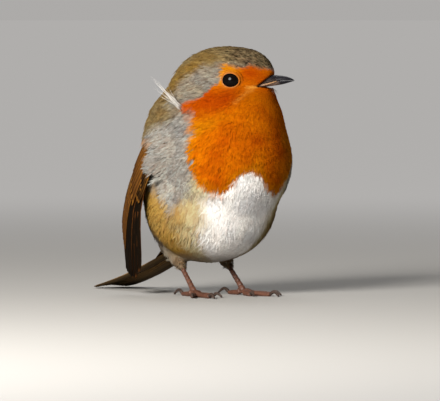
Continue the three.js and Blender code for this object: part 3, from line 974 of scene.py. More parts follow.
def coat_tree(name):
    tree = bpy.data.node_groups.new(name, "GeometryNodeTree")
    face = tree.interface
    face.new_socket("Geometry", in_out="INPUT", socket_type="NodeSocketGeometry")
    for title, kind in [("Tufts", "Collection"), ("Region", "Int"), ("Seed", "Int"), ("Turn", "Float"),
                        ("Finish", "Material"), ("Crowding", "Float"), ("Lift", "Float")]:
        face.new_socket(title, in_out="INPUT", socket_type="NodeSocket" + kind)
    face.new_socket("Geometry", in_out="OUTPUT", socket_type="NodeSocketGeometry")
    board = Board(tree)
    start = tree.nodes.new("NodeGroupInput")
    given = {socket.name: Wire(board, socket) for socket in start.outputs if socket.name}

    def read(attribute, kind):
        return board.add("GeometryNodeInputNamedAttribute", {"data_type": kind}, {"Name": attribute})

    def chance(low, high, seed, kind="FLOAT"):
        node = tree.nodes.new("FunctionNodeRandomValue")
        node.data_type = kind
        names = [s for s in node.inputs if s.enabled]
        for socket, value in zip(names, (low, high)):
            socket.default_value = value
        board.feed(next(s for s in node.inputs if s.name == "Seed"), seed)
        return Wire(board, next(s for s in node.outputs if s.enabled))

    here = board.add("FunctionNodeCompare", {"data_type": "INT", "operation": "EQUAL"},
                     {2: read("zone", "INT"), 3: given["Region"]})
    scatter = {"Mesh": given["Geometry"], "Selection": here, "Seed": given["Seed"],
               "Density": read("crowd", "FLOAT") * given["Crowding"]}
    roots = board.add("GeometryNodeDistributePointsOnFaces", {"distribute_method": "RANDOM"}, scatter)
    stand = board.add("FunctionNodeAxesToRotation", {"primary_axis": "Z", "secondary_axis": "Y"},
                      {0: read("outward", "FLOAT_VECTOR"), 1: read("comb", "FLOAT_VECTOR")})
    strength = board.add("ShaderNodeCombineXYZ", {}, {0: given["Lift"], 1: given["Lift"], 2: given["Turn"]})
    wobble = board.vector("MULTIPLY", chance(*WOBBLE, given["Seed"] + 1, "FLOAT_VECTOR"), strength)
    stand = board.add("FunctionNodeRotateRotation", {"rotation_space": "LOCAL"},
                      {0: stand, 1: board.add("FunctionNodeEulerToRotation", {}, {0: wobble})})
    kinds = board.add("GeometryNodeCollectionInfo", {},
                      {"Collection": given["Tufts"], "Separate Children": True, "Reset Children": True})
    size = read("long", "FLOAT") * chance(0.8, 1.15, given["Seed"] + 2)
    scale = board.add("ShaderNodeCombineXYZ", {}, {0: size, 1: size, 2: size * given["Lift"]})
    tufts = board.add("GeometryNodeInstanceOnPoints", {}, {
        "Points": roots, "Instance": kinds, "Pick Instance": True, "Rotation": stand, "Scale": scale,
    })
    tufts = board.add("GeometryNodeStoreNamedAttribute", {"data_type": "FLOAT", "domain": "INSTANCE"},
                      {"Geometry": tufts, "Name": "tone", "Value": chance(0.0, 1.0, given["Seed"] + 3)})
    coat = board.add("GeometryNodeRealizeInstances", {}, {"Geometry": tufts})
    own_patch = board.scaled(read("leaf", "FLOAT_VECTOR"), PATCH)
    patch = board.vector("ADD", read("unwrap", "FLOAT_VECTOR"), own_patch)
    coat = board.add("GeometryNodeStoreNamedAttribute", {"data_type": "FLOAT2", "domain": "CORNER"},
                     {"Geometry": coat, "Name": "OFBake", "Value": patch})
    coat = board.add("GeometryNodeSetMaterial", {}, {"Geometry": coat, "Material": given["Finish"]})
    end = tree.nodes.new("NodeGroupOutput")
    tree.links.new(coat.socket, end.inputs[0])
    return tree


BODY_SHADING = 0.85  # share of the skin's own normal in the shading of each lock, for a soft coat
USUAL = {"Region": 0, "Turn": 0.16, "Crowding": 1.0, "Lift": 1.0}  # the inputs where a piece gives none
coat_pieces = []


def grow(name, surface, **values):
    """Grows a piece of coat on a surface, as a plain mesh object at the origin."""
    thing = put(name, surface)
    modifier = thing.modifiers.new("growth", "NODES")
    modifier.node_group = tree
    sockets = {item.name: item.identifier for item in tree.interface.items_tree if item.in_out == "INPUT"}
    for title, value in (USUAL | {"Tufts": soft_tufts, "Finish": plumage} | values).items():
        modifier[sockets[title]] = value
    graph = bpy.context.evaluated_depsgraph_get()
    mesh = bpy.data.meshes.new_from_object(thing.evaluated_get(graph), preserve_all_data_layers=True,
                                           depsgraph=graph)
    thing.modifiers.remove(modifier)
    thing.data = mesh
    lean = triples(mesh.attributes["outward"].data, "vector")
    softened = unit(between(normals_of(mesh), lean, BODY_SHADING))
    mesh.normals_split_custom_set_from_vertices(softened.astype(np.float32))
    for spent in ("outward", "comb", "crowd", "long", "zone", "unwrap"):
        if spent in mesh.attributes:
            mesh.attributes.remove(mesh.attributes[spent])
    mesh.name = name
    coat_pieces.append(thing)
    print(name, len(mesh.polygons), "triangles")


# %% [markdown]
# ## The finish of the plumage
# Every lock takes the colour of its root's place, darker towards the root. Tuft by tuft and lock by lock the
# colour varies in lightness and warmth, and on the crown fine specks, drawn out along the head, part it more.

# %% Plumage finish
ROOT_DARK, ROOT_CONTRAST = 0.12, 0.5  # how much darker a lock is at its root, and how much more by contrast
SPECKS_TO_METRE, SPECKS_DRAWN_OUT = 1150.0, 0.62
COOL, WARM = (1.0, 1.12, 1.16, 1), (1.0, 0.84, 0.80, 1)  # the tints between which locks vary


def plumage_finish(name):
    finish = Finish(name, Roughness=0.85, Specular_IOR_Level=0.0)
    plume = finish.attribute("plume", 0)
    contrast = finish.attribute("plume", 3)
    leaf, lock_tone, _ = finish.split(finish.attribute("leaf", 1))
    tone = finish.attribute("tone", 2)
    root_shade = 1.03 - (1.0 - leaf.maths("POWER", leaf, 0.8)) * (ROOT_DARK + ROOT_CONTRAST * contrast)
    place = finish.place()
    drawn_out = finish.scaled(tuple(FORWARD), finish.forward(place) * SPECKS_DRAWN_OUT)
    specks = finish.noise(finish.vector("SUBTRACT", place, drawn_out), SPECKS_TO_METRE, 1.0) * 2.0 - 1.0
    vary = 1.0 + (tone * 0.6 + lock_tone * 0.4 - 0.5) * (0.04 + 1.1 * contrast)
    vary = vary + specks * contrast * contrast * 2.2
    tinted = (contrast * 6.0).maths("MINIMUM", contrast * 6.0, 1.0)
    leaning = (tone * 0.5 + lock_tone * 0.5 - 0.5) * tinted + 0.5
    colour = finish.vector("MULTIPLY", plume, finish.blend(leaning, WARM, COOL))
    finish.set("Base Color", finish.scaled(colour, root_shade * vary))
    return finish.material


plumage = plumage_finish("plumage")
tree = coat_tree("coat")
for number, (region, crowding) in enumerate(REGIONS.items()):
    grow("coat_" + region, skin_mesh, Region=number, Seed=40 + number, Crowding=crowding,
         Lift=LIFTS.get(region, 1.0))

down = Finish("down", Roughness=0.9, Specular_IOR_Level=0.0)
down.set("Base Color", down.scaled(down.attribute("plume", 0), 0.8))
skin_mesh.materials.append(down.material)

# %% [markdown]
# ## Long feathers
# Wing and tail feathers are stiff vanes, each a thin blade with a rounded tip, a shaft, and a narrow fringe
# along its edges. A blade is a closed skin over rings of points. Where it lies is left to a placing function,
# so the same blade serves the tail, the flight feathers and the rows of coverts that roof them.

# %% One blade
BLADE_STEPS = np.array([0, 0.07, 0.18, 0.32, 0.46, 0.6, 0.72, 0.82, 0.89, 0.945, 0.98, 1.0])
BLADE_ACROSS = np.array([-1, -0.62, -0.16, 0, 0.16, 0.62, 1])
BLADE_RING = 2 * len(BLADE_ACROSS) - 2  # points round a blade
NOTCH = 0.03  # how uneven the edges are, as a share of the half width


def blade_profile(t, rounding, slim_root=0.42):
    """The half width along a feather as a share of its widest."""
    tip = np.sqrt(np.clip(1 - (np.clip(t - (1 - rounding), 0, None) / rounding) ** 2, 0, 1))
    return (slim_root + (1 - slim_root) * soft_step(0, 0.3, t)) * np.maximum(tip, 0.06)


class Vanes:
    """Gathers closed blades and turns them into one mesh with its maps."""

    def __init__(self, seed):
        self.rng = np.random.default_rng(seed)
        self.blades = []

    def add(self, place, long, half, thick, colour, fringe, rounding, fringe_width):
        """Adds a blade of so many mm; its maps say how far along and across it each point lies."""
        t = BLADE_STEPS[:, None]
        top = BLADE_ACROSS[None, :]
        under = BLADE_ACROSS[None, -2:0:-1]
        v = np.concatenate([top, under], 1) * np.ones_like(t)
        edge = 1 + NOTCH * self.rng.uniform(-1, 1, v.shape) * (np.abs(v) > 0.9)
        width = half * blade_profile(t, rounding) * edge
        arch = np.concatenate([np.ones(top.shape), -np.ones(under.shape)], 1)
        body = thick * (1 - 0.45 * t) * (0.5 * arch * (1 - 0.85 * v**2))
        shaft = 0.16 * thick * np.exp(-((v / 0.1) ** 2)) * (1 - t) * arch
        t = np.broadcast_to(t, v.shape)
        points = place(t, v * width, body + shaft, v).reshape(-1, 3)
        t, v = t.ravel(), v.ravel()
        tone = self.rng.uniform(0, 1)
        self.blades.append((
            points,
            np.stack([t, v, np.full(t.shape, tone)], 1),
            np.stack([t * long, v * half, np.full(t.shape, fringe_width)], 1),
            np.tile([*colour, 1.0], (len(t), 1)),
            np.tile([*fringe, 1.0], (len(t), 1)),
        ))

    def mesh(self, name):
        count = len(BLADE_STEPS) * BLADE_RING
        blade = capped_faces(len(BLADE_STEPS), BLADE_RING)
        faces = [[i + k * count for i in face] for k in range(len(self.blades)) for face in blade]
        points, leaf, reach, plume, fringe = (np.concatenate(rows) for rows in zip(*self.blades))
        mesh = turned_out(mesh_of(name, points, faces))
        store(mesh, "leaf", "FLOAT_VECTOR", leaf)
        store(mesh, "reach", "FLOAT_VECTOR", reach)
        store(mesh, "plume", "FLOAT_COLOR", plume)
        store(mesh, "fringe", "FLOAT_COLOR", fringe)
        self.bake_map(mesh, count)
        return mesh

    def bake_map(self, mesh, count):
        """Gives each feather a cell of the sheet: upper face in the cell's lower half, under face above."""
        cells = math.ceil(math.sqrt(len(self.blades)))
        layer = mesh.uv_layers.new(name="OFBake")
        leaf = triples(mesh.attributes["leaf"].data, "vector")
        uv = np.empty((len(mesh.loops), 2))
        for polygon in mesh.polygons:
            corners = [mesh.loops[i].vertex_index for i in polygon.loop_indices]
            under = any(vertex % BLADE_RING >= len(BLADE_ACROSS) for vertex in corners)
            for i, vertex in zip(polygon.loop_indices, corners):
                k = vertex // count
                t, v, _ = leaf[vertex]
                up = 0.27 + 0.21 * v
                cell = k % cells + 0.03 + 0.94 * t, k // cells + (1 - up if under else up)
                uv[i] = np.array(cell) / cells
        layer.data.foreach_set("uv", uv.ravel())


print("a blade has", (len(BLADE_STEPS) - 1) * BLADE_RING * 2, "triangles")

# %% [markdown]
# ## The closed wing
# A folded wing is a gently arched face. Its middle line runs from the bend, at the shoulder, to the tip, and
# every feather is placed by its share of that line, by how far it lies towards the back, and by how high it
# lies on the pile. The line is a smooth curve through five places.

# %% The wing's frame
WING_LINES = {
    "right": [(-16.5, -3, 66), (-25.2, 5.5, 54), (-28.9, 13.8, 39.5), (-27, 21.4, 23.5), (-22.6, 26.4, 7)],
    "left": [(16, -4, 65.5), (25.2, 4.5, 54), (26.8, 14.5, 41), (21.2, 26, 28.5), (13, 37, 18)],
}
WING_ROUND = 24.0  # mm, the radius to which the closed wing is arched across
BODY_MIDDLE = np.array([0.0, 3.0, 45.0])


def smooth_line(stations, steps=240):
    """A centripetal curve through the stations, with evenly spaced points."""
    p = np.array(stations, float)
    p = np.vstack([2 * p[0] - p[1], p, 2 * p[-1] - p[-2]])
    line = []
    for p0, p1, p2, p3 in zip(p, p[1:], p[2:], p[3:]):
        k0, k1, k2 = (np.linalg.norm(b - a) ** 0.5 for a, b in ((p0, p1), (p1, p2), (p2, p3)))
        m1 = (p1 - p0) / k0 - (p2 - p0) / (k0 + k1) + (p2 - p1) / k1
        m2 = (p2 - p1) / k1 - (p3 - p1) / (k1 + k2) + (p3 - p2) / k2
        s = np.linspace(0, 1, 60, endpoint=False)[:, None]
        line.append((2 * s**3 - 3 * s**2 + 1) * p1 + (s**3 - 2 * s**2 + s) * k1 * m1
                    + (3 * s**2 - 2 * s**3) * p2 + (s**3 - s**2) * k1 * m2)
    line = np.vstack([*line, p[-2:-1]])
    gone = np.concatenate([[0], np.cumsum(np.linalg.norm(np.diff(line, axis=0), axis=1))])
    even = np.linspace(0, gone[-1], steps + 1)
    return np.stack([np.interp(even, gone, line[:, i]) for i in range(3)], 1), gone[-1]


class Wing:
    """Places points on the closed wing by share, millimetres towards the back, and height."""

    def __init__(self, side):
        self.sign = SIDES[side]
        self.line, self.length = smooth_line(WING_LINES[side])
        share = np.linspace(0, 1, len(self.line))
        along = unit(np.gradient(self.line, axis=0))
        body_out = unit((self.line - BODY_MIDDLE) * (1, 1, 0.3))
        lateral = unit(np.array([[self.sign, 0.18, 0]]))
        out = mixed(body_out, np.repeat(lateral, len(share), 0), soft_step(0.35, 0.75, share))
        self.out = unit(out - np.sum(out * along, -1, keepdims=True) * along)
        self.across = -self.sign * np.cross(along, self.out)
        self.share = share

    def at(self, share, back, height):
        def pick(rows):
            return np.stack([np.interp(share, self.share, rows[:, i]) for i in range(3)], -1)

        sag = back**2 / (2 * WING_ROUND)
        before_bend = (np.clip(share, None, 0) * self.length)[..., None] * unit(self.line[1] - self.line[0])
        up = pick(self.out) * (height - sag)[..., None]
        return pick(self.line) + before_bend + pick(self.across) * back[..., None] + up


wings = {side: Wing(side) for side in SIDES}
print({side: round(wing.length, 1) for side, wing in wings.items()}, "mm from bend to tip")

# %% [markdown]
# ## Rows of wing feathers
# From the edge up: seven primaries make the point of the wing, six secondaries lie stepped above them, three
# broad tertials cover those, and rows of coverts with ochre fringes roof the roots. Each row is a few
# numbers: where its first and last feather start and end, how wide and thick they are, and how high they lie.

# %% The rows
WING_BROWN = srgb(72, 46, 22)
WING_UMBER = srgb(70, 42, 16)
WING_DARK = srgb(16, 10, 5)
OCHRE = srgb(112, 72, 24)
RUFOUS = srgb(84, 48, 18)
CREAM = srgb(140, 108, 62)
COVERT_OLIVE = srgb(78, 56, 28)
BUFF_TIP = srgb(146, 98, 44)
SHOULDER_OLIVE = srgb(98, 74, 40)

# name: how many, root share and back (first, last), tip share and back (first, last), half width, height,
# thickness, bow, colour, fringe, rounding, fringe width
WING_ROWS = {
    "primaries": (7, (0.22, -1.0), (0.20, 3.5), (0.95, -6.3), (0.97, 7.4), 2.7, -1.1, 0.75, -1.9,
                  WING_DARK, RUFOUS, 0.2, 0.17),
    "secondaries": (6, (0.18, -0.5), (0.18, 8.0), (0.87, 4.4), (0.76, 10.0), 2.8, -0.6, 0.7, 0.4,
                    WING_UMBER, OCHRE, 0.13, 0.2),
    "tertials": (3, (0.14, 6.6), (0.14, 9.8), (0.68, 9.4), (0.56, 11.2), 3.3, -0.2, 0.7, 0.9,
                 WING_BROWN, CREAM, 0.2, 0.16),
    "primary_coverts": (5, (0.22, -1.5), (0.22, 1.4), (0.52, -6.0), (0.50, -2.6), 1.7, -0.5, 0.6, -0.9,
                        WING_DARK, OCHRE, 0.3, 0.3),
    "alula": (3, (0.22, -1.4), (0.22, 0.6), (0.46, -5.2), (0.41, -3.4), 1.5, -0.2, 0.6, -0.5,
              WING_DARK, OCHRE, 0.4, 0.3),
    "greater_coverts": (8, (0.12, -1.0), (0.11, 9.0), (0.56, -3.0), (0.42, 10.4), 1.9, -0.1, 0.6, 0.3,
                        WING_UMBER, OCHRE, 0.35, 0.38),
    "median_coverts": (7, (0.02, 0.0), (0.02, 8.4), (0.32, -0.6), (0.27, 10.0), 2.1, 0.15, 0.6, 0.2,
                       COVERT_OLIVE, OCHRE, 0.5, 0.3),
}
PRIMARY_STEPS = [0.0, 0.045, 0.075, 0.09, 0.09, 0.075, 0.045]  # how much longer the middle primaries are
TILT = 0.16  # mm that each feather's lower edge rides up on its neighbour


def wing_vanes(side):
    wing = wings[side]
    vanes = Vanes(seed=7 + wing.sign)
    for row, (count, root_a, root_b, tip_a, tip_b, half, high, thick, bow, colour, fringe, rounding,
              fringe_width) in WING_ROWS.items():
        for k in range(count):
            f = k / (count - 1)
            root = between(np.array(root_a), np.array(root_b), f)
            tip = between(np.array(tip_a), np.array(tip_b), f)
            if row == "primaries":
                tip[0] += PRIMARY_STEPS[k]
            tip = tip + vanes.rng.uniform(-1, 1, 2) * (0.006, 0.2)
            lift = high + 0.07 * k + vanes.rng.uniform(-0.04, 0.04)

            def place(t, width, height, v, root=root, tip=tip, lift=lift, bow=bow):
                share = between(root[0], tip[0], t)
                back = between(root[1], tip[1], t) + bow * np.sin(math.pi * t) + width
                return wing.at(share, back, lift + height - TILT * v * soft_step(0, 0.3, t))

            vanes.add(place, (tip[0] - root[0]) * wing.length, half, thick, colour, fringe, rounding,
                      fringe_width)
    return vanes


# %% [markdown]
# ## The finish of the vanes
# The blade is brown, darker towards its inner web and its shaft, with a pale fringe. Fine slanting barbs show
# as a bump. All of it reads the feather's own map: how far along it a point lies and how far across.

# %% Vane finish
def vane_finish(name):
    finish = Finish(name, Roughness=0.75, Specular_IOR_Level=0.02)
    t, v, tone = finish.split(finish.attribute("leaf", 1))
    along, across, width = finish.split(finish.attribute("reach", 1))
    side = v.maths("ABSOLUTE", v)
    grain = finish.noise(finish.place(), 900.0, 2.0)
    ragged = side + (grain - 0.5) * 0.16
    outer = finish.ramp(0.15, -0.3, v)
    edge = finish.ramp(0.0, 0.12, ragged - (1.0 - width * (0.45 + 0.75 * outer)))
    end = finish.ramp(0.0, 0.05, t - (1.0 - width * 0.28) + (grain - 0.5) * 0.03)
    side_fringe = edge * (0.35 + 0.65 * outer) * (0.15 + 0.85 * finish.ramp(0.9, 0.4, t))
    fringe = side_fringe.maths("MAXIMUM", side_fringe, end * 0.85)
    barbs = along * 2.6 + across.maths("ABSOLUTE", across) * 3.0  # turns of the barbs' wave, by mm
    barb_wave = barbs.maths("SINE", barbs * 6.283)
    web = (0.74 + 0.34 * outer) * (0.88 + 0.24 * tone) * (0.94 + 0.06 * barb_wave) * (0.85 + 0.3 * grain)
    shaft = finish.ramp(0.09, 0.03, side)
    colour = finish.scaled(finish.attribute("plume", 0), web * (1.0 - 0.45 * shaft))
    colour = finish.blend(fringe, colour, finish.scaled(finish.attribute("fringe", 0), 0.8 + 0.4 * grain))
    finish.set("Base Color", colour)
    finish.bump(barb_wave * 0.5 + grain, 0.00006, 0.6)
    return finish.material


vane_brown = vane_finish("vane_brown")
wing_pieces = {}
for side in SIDES:
    name = "wing_feathers_" + side
    wing_pieces[side] = put(name, wing_vanes(side).mesh(name), vane_brown)
    print(name, len(wing_pieces[side].data.polygons), "faces")

# %% [markdown]
# ## Feathers over the shoulder
# The bend of the wing is tucked into the plumage of the breast side and the shoulder. A patch of surface laid
# over the bend carries the same soft tufts as the body, silver below and olive above, so the wing seems to
# come out from under them. The patch itself isn't kept: only its tufts are.

# %% The shoulder coat
PATCH_SHARE, PATCH_BACK, PATCH_STEPS = (-0.05, 0.42), (-12.0, 13.0), 54
PATCH_HEIGHT = 0.95  # mm over the wing
PATCH_DIVES = 5.0, 2.0  # mm by which the patch's front and back edges go down into the plumage
SHOULDER_LONG = 4.6  # mm
SHOULDER_CROWDING = 2.0


def coat_sheet(name, p, columns, lie, out, length, crowding, colour, contrast):
    """Rows of points as a mesh that carries every map the coat tree reads."""
    rows = len(p) // columns
    faces = grid_faces(rows, columns)
    mesh = mesh_of(name, p, faces)
    store(mesh, "plume", "FLOAT_COLOR", np.column_stack([colour, contrast]))
    store(mesh, "comb", "FLOAT_VECTOR", lie)
    store(mesh, "outward", "FLOAT_VECTOR", out)
    store(mesh, "long", "FLOAT", length * MM)
    store(mesh, "crowd", "FLOAT", crowding * TUFTS_PER_SQUARE / length**1.75 / MM**2)
    store(mesh, "zone", "INT", np.zeros(len(faces)), "FACE")
    sheet = mesh.uv_layers.new(name="unwrap")
    corner = np.array([loop.vertex_index for loop in mesh.loops])
    flat = np.stack([(corner // columns) / rows, (corner % columns) / columns], 1) * 0.96 + 0.02
    sheet.data.foreach_set("uv", flat.astype(np.float32).ravel())
    return mesh


def lowest_at(back):
    """How far down the wing the soft feathers reach."""
    return between(0.24, 0.33, soft_step(2.0, -6.0, back))


def shoulder_patch(side):
    wing = wings[side]
    share, back = np.meshgrid(np.linspace(*PATCH_SHARE, PATCH_STEPS), np.linspace(*PATCH_BACK, PATCH_STEPS),
                              indexing="ij")
    share, back = share.ravel(), back.ravel()
    dive = PATCH_DIVES[0] * soft_step(-4.5, -12.0, back) + PATCH_DIVES[1] * soft_step(9.5, 13.0, back)
    height = PATCH_HEIGHT - dive
    p = wing.at(share, back, height)
    onward = unit(wing.at(share + 0.01, back, height) - p)
    sideways = unit(wing.at(share, back + 0.1, height) - p)
    out = unit(np.cross(onward, sideways)) * wing.sign
    colour, contrast = plumage_colour(p)
    lowest = lowest_at(back)
    colour = painted(
        colour,
        (mottled(SILVER, SILVER_SHADE, 0.4, 0.4, p, 3.5, 26),
         soft_step(-0.02, 0.05, share) * soft_step(0.42, 0.32, share)),
        (mottled(OLIVE, SHOULDER_OLIVE, 0.5, 0.5, p, 2.0, 72),
         soft_step(1.0, 5.0, back + 1.2 * ripple(p, 3.0, 71)) * soft_step(0.02, -0.03, share)),
        (BUFF_TIP, 0.7 * soft_step(lowest - 0.06, lowest, share) * soft_step(-3, 1, back)),
    )
    lie = unit(onward + 0.45 * sideways * soft_step(8, -6, back)[:, None])
    length = SHOULDER_LONG * (0.8 + 0.25 * soft_step(0.0, 0.3, share))
    ragged = lowest + 0.03 * ripple(p, 2.0, 74)
    return coat_sheet("shoulder_" + side, p, PATCH_STEPS, lie, out, length,
                      SHOULDER_CROWDING * soft_step(ragged, ragged - 0.05, share), colour, 0.8 * contrast)


for side in SIDES:
    grow("coat_shoulder_" + side, shoulder_patch(side), Seed=60, Lift=0.8)

# %% [markdown]
# ## The tail
# Twelve feathers lie in a closed fan, the middle pair on top. They come from under the rump and slope down to
# the ground. Two rows of coverts hide their roots above, and one row of pale ones below.

# %% Tail feathers
TAIL_ROOT = np.array([0, 21, 19.5])
TAIL_TIP = np.array([0, 76, 0.85])
TAIL_PAIRS = 6
TAIL_SPREAD = (3.4, 7.0)  # mm from the middle to the outermost shaft, at the root and at the tip
TAIL_STEP = 0.35  # mm that each feather lies under its inner neighbour
TAIL_SAG = 1.6  # mm
TAIL_NOTCH = 1.3  # mm that the middle and outer feathers are shorter than those between
TAIL_BROWN = srgb(96, 76, 50)
TAIL_EDGE = srgb(150, 112, 66)
UNDER_BUFF = srgb(206, 192, 160)
# Rows of upper coverts: how many, where the middle one starts and ends, and the row's half width.
TAIL_COVERTS = [(6, (0, 17, 24.5), (0, 42, 11.6), 4.2), (5, (0, 15, 27.0), (0, 36, 14.6), 3.8)]
UNDER_COVERTS = 6


def tail_place(root, tip, sag, tilt, lift=0.0):
    def place(t, width, height, v):
        middle = root + (tip - root) * t[..., None]
        middle[..., 2] += lift * np.sin(math.pi * np.clip(t * 1.4, 0, 1)) - sag * np.sin(math.pi * t)
        middle[..., 0] += width
        middle[..., 2] += height + tilt * v
        middle[..., 2] = np.maximum(middle[..., 2], 0.05)
        return middle

    return place


def tail_vanes():
    vanes = Vanes(seed=31)
    for sign in (-1, 1):
        for k in range(TAIL_PAIRS):
            out = (k + 0.5) / TAIL_PAIRS
            down = k * TAIL_STEP
            root = TAIL_ROOT + [sign * out * TAIL_SPREAD[0], 0, -down]
            short = TAIL_NOTCH * abs(2 * out - 1)
            tip = TAIL_TIP + [sign * out * TAIL_SPREAD[1], -short, 0.1 - down / 3]
            vanes.add(tail_place(root, tip, TAIL_SAG, -0.1 * sign), 58, 3.3, 0.6, TAIL_BROWN, TAIL_EDGE,
                      0.1, 0.14)
    for count, start, end, wide in TAIL_COVERTS:
        for f in np.linspace(-1, 1, count):
            root = np.array(start) + [f * wide, -abs(f), -0.8 * f * f]
            tip = np.array(end) + [f * wide * 0.9, -4.5 * abs(f), -0.5 * abs(f)]
            vanes.add(tail_place(root, tip, 0.0, -0.25 * np.sign(f), lift=0.8), 26, 2.6, 0.6, COVERT_OLIVE,
                      RUFOUS, 0.4, 0.25)
    for f in np.linspace(-1, 1, UNDER_COVERTS):
        root = np.array([f * 3.2, 17, 14.5])
        tip = np.array([f * 3.6, 33 - 3 * abs(f), 12.0])
        vanes.add(tail_place(root, tip, 0.3, 0.2 * np.sign(f)), 16, 2.3, 0.7, UNDER_BUFF, BELLY_WHITE,
                  0.45, 0.3)
    return vanes


tail = put("tail_feathers", tail_vanes().mesh("tail_feathers"), vane_brown)
print("tail", len(tail.data.polygons), "faces")

# %% [markdown]
# ## The bill
# Horn over bone: a dark ridge above, a paler lower half, a fine dark mouth line between, and an oval pit for
# the nostril. Both halves are lofts of rings, and a soft pale flange runs on from the mouth line to the
# corner of the gape, under the bristles.

# %% Rings of horn
BILL_START, BILL_END = 6.6, 21.6
GAPE = (7.6, 4.9, -2.2)  # the corner of the mouth: forward, to the side, up
# Heights of the ridge, the mouth line and the lower edge, and the half width, by how far forward they are.
RIDGE = [(6.6, 2.4), (11, 2.35), (13.4, 2.12), (14.9, 1.95), (17, 1.78), (18.6, 1.5), (19.8, 1.1),
         (20.8, 0.68), (21.6, 0.12)]
MOUTH = [(6.6, -2.5), (9.3, -1.85), (12, -1.0), (15, -0.22), (18, 0.0), (20.4, 0.02), (21.6, -0.04)]
KEEL = [(6.6, -2.8), (12, -2.2), (14.9, -1.78), (17, -1.42), (18.6, -1.02), (19.8, -0.66), (20.8, -0.34),
        (21.6, -0.12)]
HALF_WIDTH = [(6.6, 4.0), (11, 3.7), (12.6, 3.0), (14, 2.35), (15, 2.0), (17, 1.5), (18.6, 1.12),
              (19.8, 0.76), (20.8, 0.45), (21.6, 0.08)]
LOWER_NARROWER = 0.93
MOUTH_GAP = 0.05  # mm from the mouth line to each half
NOSTRIL = 14.9  # how far forward the nostril opens
NOSTRIL_LONG, NOSTRIL_DEEP = 0.75, 0.55  # mm
RINGS, AROUND = 40, 22


def loft(rings, name):
    """A closed skin over a list of rings of points, each with as many points."""
    return turned_out(mesh_of(name, np.vstack(rings), capped_faces(len(rings), len(rings[0]))))


def bill_ring(forward, upper):
    half = table(HALF_WIDTH, forward) * (1.0 if upper else LOWER_NARROWER)
    mouth = table(MOUTH, forward) + (MOUTH_GAP if upper else -MOUTH_GAP)
    crest = table(RIDGE if upper else KEEL, forward)
    ring = []
    for a in np.linspace(0, math.pi, AROUND):
        across = math.cos(a)
        rise = abs(math.sin(a)) ** 0.8
        pit = math.exp(-(((forward - NOSTRIL) / NOSTRIL_LONG) ** 2) - ((abs(across) - 0.80) / 0.13) ** 2)
        ring.append((forward, across * (half - NOSTRIL_DEEP * pit * upper), mouth + (crest - mouth) * rise))
    return from_head(np.array(ring))


# %% [markdown]
# Horn goes from pale at its root to dark at its tip, with fine growth lines.


# %% Horn finish and the two halves
def horn_finish(name, dark, pale, pale_from, pale_to):
    finish = Finish(name, Roughness=0.34, Specular_IOR_Level=0.16)
    place = finish.place()
    forward = finish.forward(finish.vector("SUBTRACT", place, tuple(to_metres(BETWEEN_EYES))))
    lines = finish.noise(place, 2600.0, 3.0)
    cloud = finish.noise(place, 420.0, 2.0)
    share = finish.ramp(pale_from * MM, pale_to * MM, forward + (cloud - 0.5) * 0.003)
    finish.set("Base Color", finish.scaled(finish.blend(share, (*pale, 1), (*dark, 1)), 0.8 + 0.4 * lines))
    finish.set("Roughness", 0.26 + 0.16 * cloud)
    finish.bump(lines + cloud, 0.00004, 0.7)
    return finish.material


BILL_DARK = srgb(22, 21, 25)
BILL_GREY = srgb(66, 57, 54)
BILL_PALE = srgb(150, 124, 108)
horn_upper = horn_finish("horn_upper", BILL_DARK, BILL_GREY, 9.5, 14.5)
horn_lower = horn_finish("horn_lower", BILL_DARK, BILL_PALE, 13.0, 17.0)
stations = between(BILL_START, BILL_END, 1 - (1 - np.linspace(0, 1, RINGS)) ** 1.25)  # closer at the tip
bill_pieces = {}
for half_name, upper, horn in (("bill_upper", True, horn_upper), ("bill_lower", False, horn_lower)):
    mesh = loft([bill_ring(t, upper) for t in stations], "horn_" + half_name)
    bill_pieces[half_name] = put("horn_" + half_name, mesh, horn)
print("bill", [len(piece.data.polygons) for piece in bill_pieces.values()], "faces")

# %% [markdown]
# ## The gape flange and bristles
# A soft rim of bare skin follows the mouth line back under the eye's front, and fine dark bristles stand over
# it and on the chin.


# %% Flange
def tube(path, radii, sides=8):
    """Rings of points round a path, for a loft."""
    path = np.asarray(path, float)
    heading = unit(np.gradient(path, axis=0))
    side = unit(np.cross(heading, (0, 0, 1.0)))
    up = np.cross(side, heading)
    a = np.linspace(0, 2 * math.pi, sides, endpoint=False)[:, None]
    return [p + r * (np.cos(a) * s + np.sin(a) * u) for p, s, u, r in zip(path, side, up, radii)]


def joined_mesh(name, meshes):
    work = bmesh.new()
    for mesh in meshes:
        work.from_mesh(mesh)
        bpy.data.meshes.remove(mesh)
    out = bpy.data.meshes.new(name)
    work.to_mesh(out)
    out.shade_smooth()
    return out


FLANGE_END = 15.4  # how far forward the flange reaches along the bill
FLANGE_BULGE = (0.55, 0.25)  # mm outwards and down
FLANGE_SKIN = srgb(150, 116, 82)
FLANGE_ROOT = srgb(126, 104, 90)
flange_parts = []
for sign in (-1, 1):
    t = np.linspace(0, 1, 14)
    from_gape = np.array(GAPE) * (1, sign, 1)
    to_bill = np.array([FLANGE_END, sign * (table(HALF_WIDTH, FLANGE_END) + 0.06), table(MOUTH, FLANGE_END)])
    path = between(from_gape, to_bill, t[:, None])
    path[:, 1] += sign * FLANGE_BULGE[0] * np.sin(math.pi * t)
    path[:, 2] -= FLANGE_BULGE[1] * np.sin(math.pi * t)
    radii = 0.16 + 0.30 * np.sin(math.pi * np.clip(0.15 + 0.8 * t, 0, 1)) * (1 - 0.5 * t)
    flange_parts.append(loft(tube(from_head(path), radii), "flange"))
flange = put("gape_flange", joined_mesh("gape_flange", flange_parts),
             horn_finish("gape_skin", FLANGE_SKIN, FLANGE_ROOT, 9, 14))
print("gape flange made")

# %% [markdown]
# ## A stray plume
# A few long white filaments have worked loose on the side of the neck and blow up past the nape. Each is a
# thin tapering tube along a bent line.

